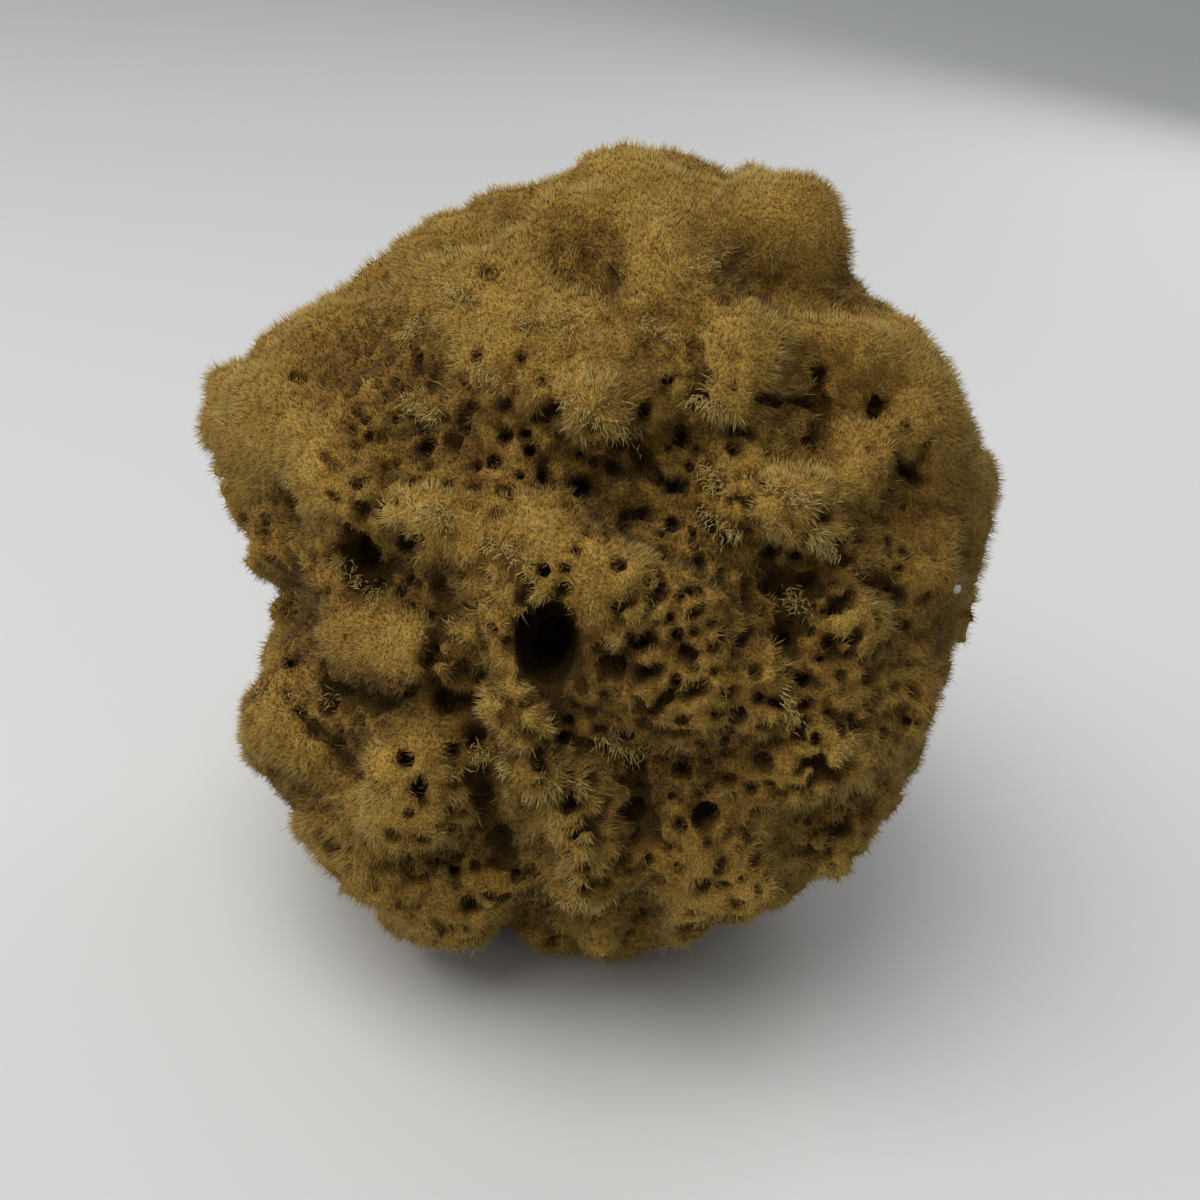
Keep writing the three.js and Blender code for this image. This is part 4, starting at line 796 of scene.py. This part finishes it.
def coat(count, seed, lo, hi, width, weight):
    r = np.random.default_rng(seed)
    p, i = roots(count, weight, seed + 1)
    sunk, pl = tri_sunk[i], tri_plush[i]
    nm, nt = tri_macro[i], tri_n[i]
    ci, off = cells_of(p, TUFTS, 77)
    tilt = np.random.default_rng(78).normal(0, 0.42, (TUFTS, 3))[ci]
    lift = np.random.default_rng(79).uniform(0, 1, TUFTS)[ci]
    off = off - (off * nm).sum(1, keepdims=True) * nm
    spread = np.linalg.norm(off, axis=1)
    rough = (1 - pl)[:, None]
    d = nm + (0.3 + 0.7 * rough) * nt + tilt * (0.5 + 0.3 * rough) - (0.05 + 0.08 * rough) * off + r.normal(0, 0.25, (count, 3))
    d[:, 2] -= 0.06 + 0.16 * pl * np.clip(1 - nm[:, 2], 0, 1)
    for cx, cy, cz, cr_, fx, fy, fz, comb, more in COMBED:
        w = np.exp(-((p - np.array([cx, cy, cz])) ** 2).sum(1) / (cr_ * cr_))[:, None]
        d = d + w * comb * np.array([fx, fy, fz])
        combed = 1 + more * w[:, 0] if cx == COMBED[0][0] and cz == COMBED[0][2] else combed + more * w[:, 0]
    length = r.uniform(lo, hi, count) * (0.78 + 0.42 * lift) * (0.64 + 0.2 * pl) * combed
    tone_and_shading = 0.52 + 0.12 * (lift - 0.5) + r.normal(0, 0.035, count)
    mid = sample(middle, p)
    wide_mid = sample(broad, p)
    rug = np.clip(1.15 - pl, 0.3, 1)
    # painted shade: fibres between tufts and away from the middles of broad lumps are darker, those at tuft middles
    # paler
    tone_and_shading -= rug * (0.50 * (mid - 0.55) + 0.22 * (wide_mid - 0.5))
    length *= 1 - rug * 0.55 * np.clip(mid - 0.45, -0.4, 0.6)
    # painted light and shade in patches
    for qx, qy, qz, qr, more in LIT_AND_SHADED_PATCHES:
        tone_and_shading += more * np.exp(-((p - np.array([qx, qy, qz])) ** 2).sum(1) / (qr * qr))
    # painted shade deeper in pits and valleys and painted light on ridges; the broad patch term is the sponge's own
    # uneven tone
    tone_and_shading += 0.05 * sample(patch, p) - (0.13 - 0.04 * pl) * np.clip(sunk + 0.3, 0, 3.5) + 0.09 * np.clip(sample(crest, p), -1.8, 1.2)
    # holes stay open: no strand starts in one, and those on its rim lean off it
    hit = np.array([hole_tree.find(q)[1] for q in p])
    hv = p - HOLES[hit, :3]
    hv -= (hv * nm).sum(1, keepdims=True) * nm
    hd = np.linalg.norm(hv, axis=1)
    hr = HOLES[hit, 3]
    rim = np.exp(-np.clip(hd - hr, 0, 9) / 0.8) * 0.6
    d += hv / (hd[:, None] + 1e-6) * (0.55 * rim)[:, None]
    ok = hd > hr * 0.85
    x, y, z, ax, ay, az, ux, uy, uz, hw, hl, _ = main_hole
    o, up_ = np.array([ax, ay, az]), np.array([ux, uy, uz])
    v = p - np.array([x, y, z])
    e = np.sqrt(((v @ np.cross(up_, o)) / hw) ** 2 + ((v @ up_) / hl) ** 2)
    ok &= e > 1.06
    for bx, by, bz, br, gain in BURSTS:
        v = p - np.array([bx, by, bz])
        w = np.exp(-(v ** 2).sum(1) / (br * br)) * gain
        v -= (v * nm).sum(1, keepdims=True) * nm
        d += v * (0.36 * w)[:, None]
        length *= 1 + 0.4 * w
        # the tufts are made paler: partly paler fibre, partly painted light
        tone_and_shading += 0.38 * w
    d = unit(d)
    # tips end at the outer form
    room = np.clip(-sample(macro, p) + 0.25, 0.3, 9) / np.clip((d * nm).sum(1), 0.35, 1)
    length = np.minimum(length, room * (0.75 + 0.5 * lift) + 0.4 * r.random(count))
    p0 = p - d * 0.35
    length = length + 0.35
    low = (p0 + d * length[:, None])[:, 2] < 0.15
    d[low, 2] = np.maximum(d[low, 2], 0.02)
    d = unit(d)
    ok &= (p[:, 2] > 0.25) & ((p0 + d * length[:, None])[:, 2] > 0.05)
    return p0[ok], d[ok], length[ok], (width * r.uniform(0.8, 1.2, count))[ok], np.clip(tone_and_shading, 0, 1)[ok], r.uniform(0, 6.28, count)[ok], nm[ok]


underside = np.where((tri_n[:, 2] < -0.9) & (tri_mid[:, 2] < 0.5), 0.0, 1.0)
open_weight = underside * np.exp(-(np.clip(tri_sunk - 1.7, 0, 9) / 1.7) ** 2) + 0.01 * underside
seen_weight = 0.55 + (0.95 + 0.35 * (1 - tri_plush)) * ramp(tri_face, -0.2, 0.35)
pieces = [core]
quarter = 52000
LIMIT = 47500
for k in range(4):
    p, d, ln, w, tone_and_shading, turn, nm = coat(quarter, 100 + 10 * k, 1.7, 2.9, 0.155, open_weight * seen_weight)
    print("fibres", len(p))
    ob = spikes("sponge_fibres_%d" % (k + 1), *[q[:LIMIT] for q in (p, d, ln, w, tone_and_shading, turn)])
    pieces.append(ob)

# longer bent strands in the pitted parts and at the tufts
burst_w = np.zeros(len(tri_mid))
for bx, by, bz, br, gain in BURSTS:
    burst_w += gain * np.exp(-((tri_mid - np.array([bx, by, bz])) ** 2).sum(1) / (br * br))
p, d, ln, w, tone_and_shading, turn, nm = coat(6600, 900, 2.6, 4.2, 0.19, open_weight * seen_weight * (0.25 + (1 - tri_plush) + 6 * burst_w))
r = np.random.default_rng(991)
d1 = unit(d + 0.45 * r.normal(0, 1, d.shape))
tip_z = (p + d * (ln * 0.5)[:, None] + d1 * (ln * 0.5)[:, None])[:, 2]
ok = tip_z > 0.1
# fringes of pale curled strands
fr, fd, fe, fl = [], [], [], []
for x0, y0, x1, y1, n_ in ((438, 280, 474, 296, 90), (398, 338, 420, 318, 70), (396, 400, 436, 416, 90), (474, 366, 494, 388, 50), (568, 300, 572, 334, 40),
                           (560, 402, 640, 440, 90), (700, 462, 716, 490, 45), (702, 514, 738, 540, 60), (816, 540, 832, 562, 60), (690, 400, 726, 420, 80),
                           (790, 592, 803, 610, 40), (430, 500, 446, 528, 70), (480, 540, 530, 560, 60), (770, 480, 810, 500, 60), (640, 322, 672, 336, 50), (520, 322, 548, 318, 50), (690, 268, 720, 262, 40),
                           (600, 740, 640, 760, 60), (476, 748, 500, 770, 50), (540, 900, 620, 906, 50), (790, 690, 800, 730, 40),
                           (255, 690, 330, 700, 50), (330, 560, 380, 600, 50)):
    n_ = int(1.7 * n_)
    t_ = r.random(n_)
    ends = np.array([seen_point(x0, y0), seen_point((x0 + x1) / 2, (y0 + y1) / 2), seen_point(x1, y1)])
    q = np.stack([np.interp(t_, [0, 0.5, 1], ends[:, k]) for k in range(3)], 1) + r.normal(0, 0.8, (n_, 3))
    nq = slope(macro, q)
    q = q - nq * (sample(macro, q) + 1.4)[:, None]
    dq = unit(nq + r.normal(0, 0.5, (n_, 3)) - 0.25 * upward)
    fr.append(q)
    fd.append(dq)
    fe.append(unit(dq + r.normal(0, 0.4, (n_, 3)) - 0.45 * upward))
    fl.append(r.uniform(1.3, 2.6, n_))
fr, fd, fe, fl = np.concatenate(fr), np.concatenate(fd), np.concatenate(fe), np.concatenate(fl)
HOOKS = 6000 - len(fr)
more_of = (fr, fd, fe, fl, np.full(len(fr), 0.17), r.uniform(0.66, 0.95, len(fr)), r.uniform(0, 6.28, len(fr)))
ob = hooks("sponge_tufts", *[np.concatenate([q[ok][:HOOKS], e]) for q, e in zip((p, d, d1, ln * 1.08, w, np.clip(tone_and_shading + 0.1, 0, 1), turn), more_of)])
pieces.append(ob)


# ---------------------------------------------------------------- materials
def node(nt, kind, **values):
    n = nt.nodes.new(kind)
    for k, v in values.items():
        setattr(n, k, v)
    return n


def principled(name, roughness=0.9, sheen=0.0):
    m = bpy.data.materials.new(name)
    m.use_nodes = True
    nt = m.node_tree
    b = nt.nodes["Principled BSDF"]
    b.inputs["Roughness"].default_value = roughness
    b.inputs["Specular IOR Level"].default_value = 0.2
    b.inputs["Sheen Weight"].default_value = sheen
    b.inputs["Sheen Roughness"].default_value = 0.5
    return m, nt, b


def colour_ramp(nt, stops):
    n = nt.nodes.new("ShaderNodeValToRGB")
    els = n.color_ramp.elements
    els[0].position, els[0].color = stops[0][0], (*stops[0][1], 1)
    els[1].position, els[1].color = stops[-1][0], (*stops[-1][1], 1)
    for pos, col in stops[1:-1]:
        e = els.new(pos)
        e.color = (*col, 1)
    return n


def multiply(nt, a, b, fac=1.0):
    n = nt.nodes.new("ShaderNodeMix")
    n.data_type, n.blend_type = "RGBA", "MULTIPLY"
    n.inputs["Factor"].default_value = fac
    nt.links.new(a, n.inputs[6])
    nt.links.new(b, n.inputs[7])
    return n.outputs[2]


fibre, nt, b = principled("sponge_fibre", 0.8, 0.10)
b.inputs["Sheen Tint"].default_value = (1.0, 0.92, 0.76, 1)
at = node(nt, "ShaderNodeAttribute", attribute_name="along")
tn = node(nt, "ShaderNodeAttribute", attribute_name="tone_and_shading")
run = colour_ramp(nt, [(0.0, (0.36, 0.222, 0.046)), (0.4, (0.43, 0.278, 0.060)), (0.8, (0.50, 0.352, 0.088)), (1.0, (0.55, 0.400, 0.118))])
# the fibres' own uneven tone together with painted light and shade: low values give near black painted shade, high
# values a pale, bluish painted highlight
tone_shading_ramp = colour_ramp(nt, [(0.0, (0.10, 0.07, 0.05)), (0.22, (0.36, 0.29, 0.19)), (0.46, (0.86, 0.83, 0.76)), (0.7, (1.06, 1.09, 1.22)), (1.0, (1.36, 1.54, 2.3))])
nt.links.new(at.outputs["Fac"], run.inputs["Fac"])
nt.links.new(tn.outputs["Fac"], tone_shading_ramp.inputs["Fac"])
nt.links.new(multiply(nt, run.outputs["Color"], tone_shading_ramp.outputs["Color"]), b.inputs["Base Color"])

skin, nt, b = principled("sponge_skeleton", 0.95)
sk = node(nt, "ShaderNodeAttribute", attribute_name="sunk")
tex = node(nt, "ShaderNodeTexCoord")
n1 = node(nt, "ShaderNodeTexNoise")
n1.inputs["Scale"].default_value = 2200
n1.inputs["Detail"].default_value = 3
n2 = node(nt, "ShaderNodeTexNoise")
n2.inputs["Scale"].default_value = 90
nt.links.new(tex.outputs["Object"], n1.inputs["Vector"])
nt.links.new(tex.outputs["Object"], n2.inputs["Vector"])
# painted shade: paler brown at the broad form, near black deep in pits and valleys
pit_shade_ramp = colour_ramp(nt, [(0.0, (0.42, 0.27, 0.062)), (0.10, (0.36, 0.22, 0.046)), (0.28, (0.21, 0.118, 0.022)), (0.55, (0.135, 0.074, 0.015)), (1.0, (0.13, 0.078, 0.018))])
fine = colour_ramp(nt, [(0.34, (0.58, 0.54, 0.48)), (0.66, (1.26, 1.26, 1.2))])
wide = colour_ramp(nt, [(0.3, (0.85, 0.78, 0.68)), (0.7, (1.1, 1.08, 1.05))])
nt.links.new(sk.outputs["Fac"], pit_shade_ramp.inputs["Fac"])
nt.links.new(n1.outputs["Fac"], fine.inputs["Fac"])
nt.links.new(n2.outputs["Fac"], wide.inputs["Fac"])
nt.links.new(multiply(nt, multiply(nt, pit_shade_ramp.outputs["Color"], fine.outputs["Color"]), wide.outputs["Color"]), b.inputs["Base Color"])
bump = node(nt, "ShaderNodeBump")
bump.inputs["Strength"].default_value = 0.9
bump.inputs["Distance"].default_value = 0.0008
nt.links.new(n1.outputs["Fac"], bump.inputs["Height"])
nt.links.new(bump.outputs["Normal"], b.inputs["Normal"])

grain_m, nt, b = principled("sponge_grain", 0.4)
b.inputs["Base Color"].default_value = (0.72, 0.70, 0.66, 1)
gn = node(nt, "ShaderNodeTexNoise")
gn.inputs["Scale"].default_value = 1500
gb = node(nt, "ShaderNodeBump")
gb.inputs["Distance"].default_value = 0.0002
nt.links.new(gn.outputs["Fac"], gb.inputs["Height"])
nt.links.new(gb.outputs["Normal"], b.inputs["Normal"])

core.data.materials.clear()
core.data.materials.append(skin)
for ob in pieces[1:]:
    ob.data.materials.clear()
    ob.data.materials.append(fibre)
# a pale shell grain caught in the right flank
spot = seen_point(960, 592)
spot = spot - slope(macro, spot[None])[0] * 0.7
gr = np.random.default_rng(5)
ball = []
for i_ in range(8):
    for j_ in range(12):
        th, ph = math.pi * (i_ + 0.5) / 8, 2 * math.pi * j_ / 12
        ball.append([math.sin(th) * math.cos(ph), math.sin(th) * math.sin(ph), math.cos(th)])
ball = np.array([[0, 0, 1.0]] + ball + [[0, 0, -1.0]]) * (1 + gr.uniform(-0.12, 0.12, (98, 1))) * np.array([0.8, 0.55, 1.0])
gf = [(0, 1 + j_, 1 + (j_ + 1) % 12) for j_ in range(12)] + [(97, 85 + (j_ + 1) % 12, 85 + j_) for j_ in range(12)]
for i_ in range(7):
    for j_ in range(12):
        a, b_, c, d_ = 1 + i_ * 12 + j_, 1 + i_ * 12 + (j_ + 1) % 12, 13 + i_ * 12 + (j_ + 1) % 12, 13 + i_ * 12 + j_
        gf += [(a, d_, c), (a, c, b_)]
grain = make_object("sponge_grain", to_row(ball * 0.8 + spot), np.array(gf), 3)
grain.data.materials.append(grain_m)
pieces.append(grain)
for ob in pieces:
    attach(ob, "root")
    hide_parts("sponge")

print("triangles", sum(sum(len(f.vertices) - 2 for f in ob.data.polygons) for ob in pieces))

# ---------------------------------------------------------------- floor, light, camera
def simple(name, colour, rough):
    m = bpy.data.materials.new(name)
    m.use_nodes = True
    b_ = m.node_tree.nodes["Principled BSDF"]
    b_.inputs["Base Color"].default_value = (*colour, 1)
    b_.inputs["Roughness"].default_value = rough
    return m


floor_mesh = bpy.data.meshes.new("floor")
S = 4.0
floor_mesh.from_pydata([(-S, -S, 0), (S, -S, 0), (S, S, 0), (-S, S, 0)], [], [(0, 1, 2, 3)])
floor = bpy.data.objects.new("floor", floor_mesh)
bpy.context.scene.collection.objects.link(floor)
floor_mesh.materials.append(simple("floor_pale", (0.74, 0.75, 0.75), 0.6))

scene = bpy.context.scene
world = bpy.data.worlds.new("soft")
scene.world = world
world.use_nodes = True
wt = world.node_tree
wc = wt.nodes.new("ShaderNodeTexCoord")
ws = wt.nodes.new("ShaderNodeSeparateXYZ")
wr = wt.nodes.new("ShaderNodeMapRange")
wr.inputs["From Min"].default_value, wr.inputs["From Max"].default_value = -0.9, 0.9
wr.inputs["To Min"].default_value, wr.inputs["To Max"].default_value = 0.60, 0.12
wt.links.new(wc.outputs["Generated"], ws.inputs[0])
wt.links.new(ws.outputs["X"], wr.inputs["Value"])
wt.nodes["Background"].inputs["Color"].default_value = (0.94, 0.97, 1.0, 1)
wt.links.new(wr.outputs[0], wt.nodes["Background"].inputs["Strength"])


def area_light(name, at_, look, size, power, colour):
    data = bpy.data.lights.new(name, "AREA")
    data.shape, data.size, data.energy, data.color = "DISK", size, power, colour
    ob_ = bpy.data.objects.new(name, data)
    ob_.location = at_
    ob_.rotation_euler = (Vector(look) - Vector(at_)).to_track_quat("-Z", "Y").to_euler()
    scene.collection.objects.link(ob_)
    return ob_


area_light("overhead", (-0.42, -0.36, 1.05), (0, 0, 0.07), 1.1, 10.0, (1.0, 0.975, 0.94))

area_light("behind", (0.55, 1.0, 0.6), (0, 0, 0.07), 0.8, 3.0, (1.0, 0.98, 0.95))

cam_data = bpy.data.cameras.new("camera")
cam_data.lens, cam_data.sensor_width, cam_data.sensor_fit = 48.0, 36.0, "HORIZONTAL"
cam_data.clip_start, cam_data.clip_end = 0.01, 20
cam = bpy.data.objects.new("camera", cam_data)
scene.collection.objects.link(cam)
rot = Matrix((across, upward, -away)).transposed()
cam.matrix_world = Matrix.Translation(Vector(to_row(EYE))) @ rot.to_4x4()
scene.camera = cam
scene.view_settings.view_transform = "Standard"
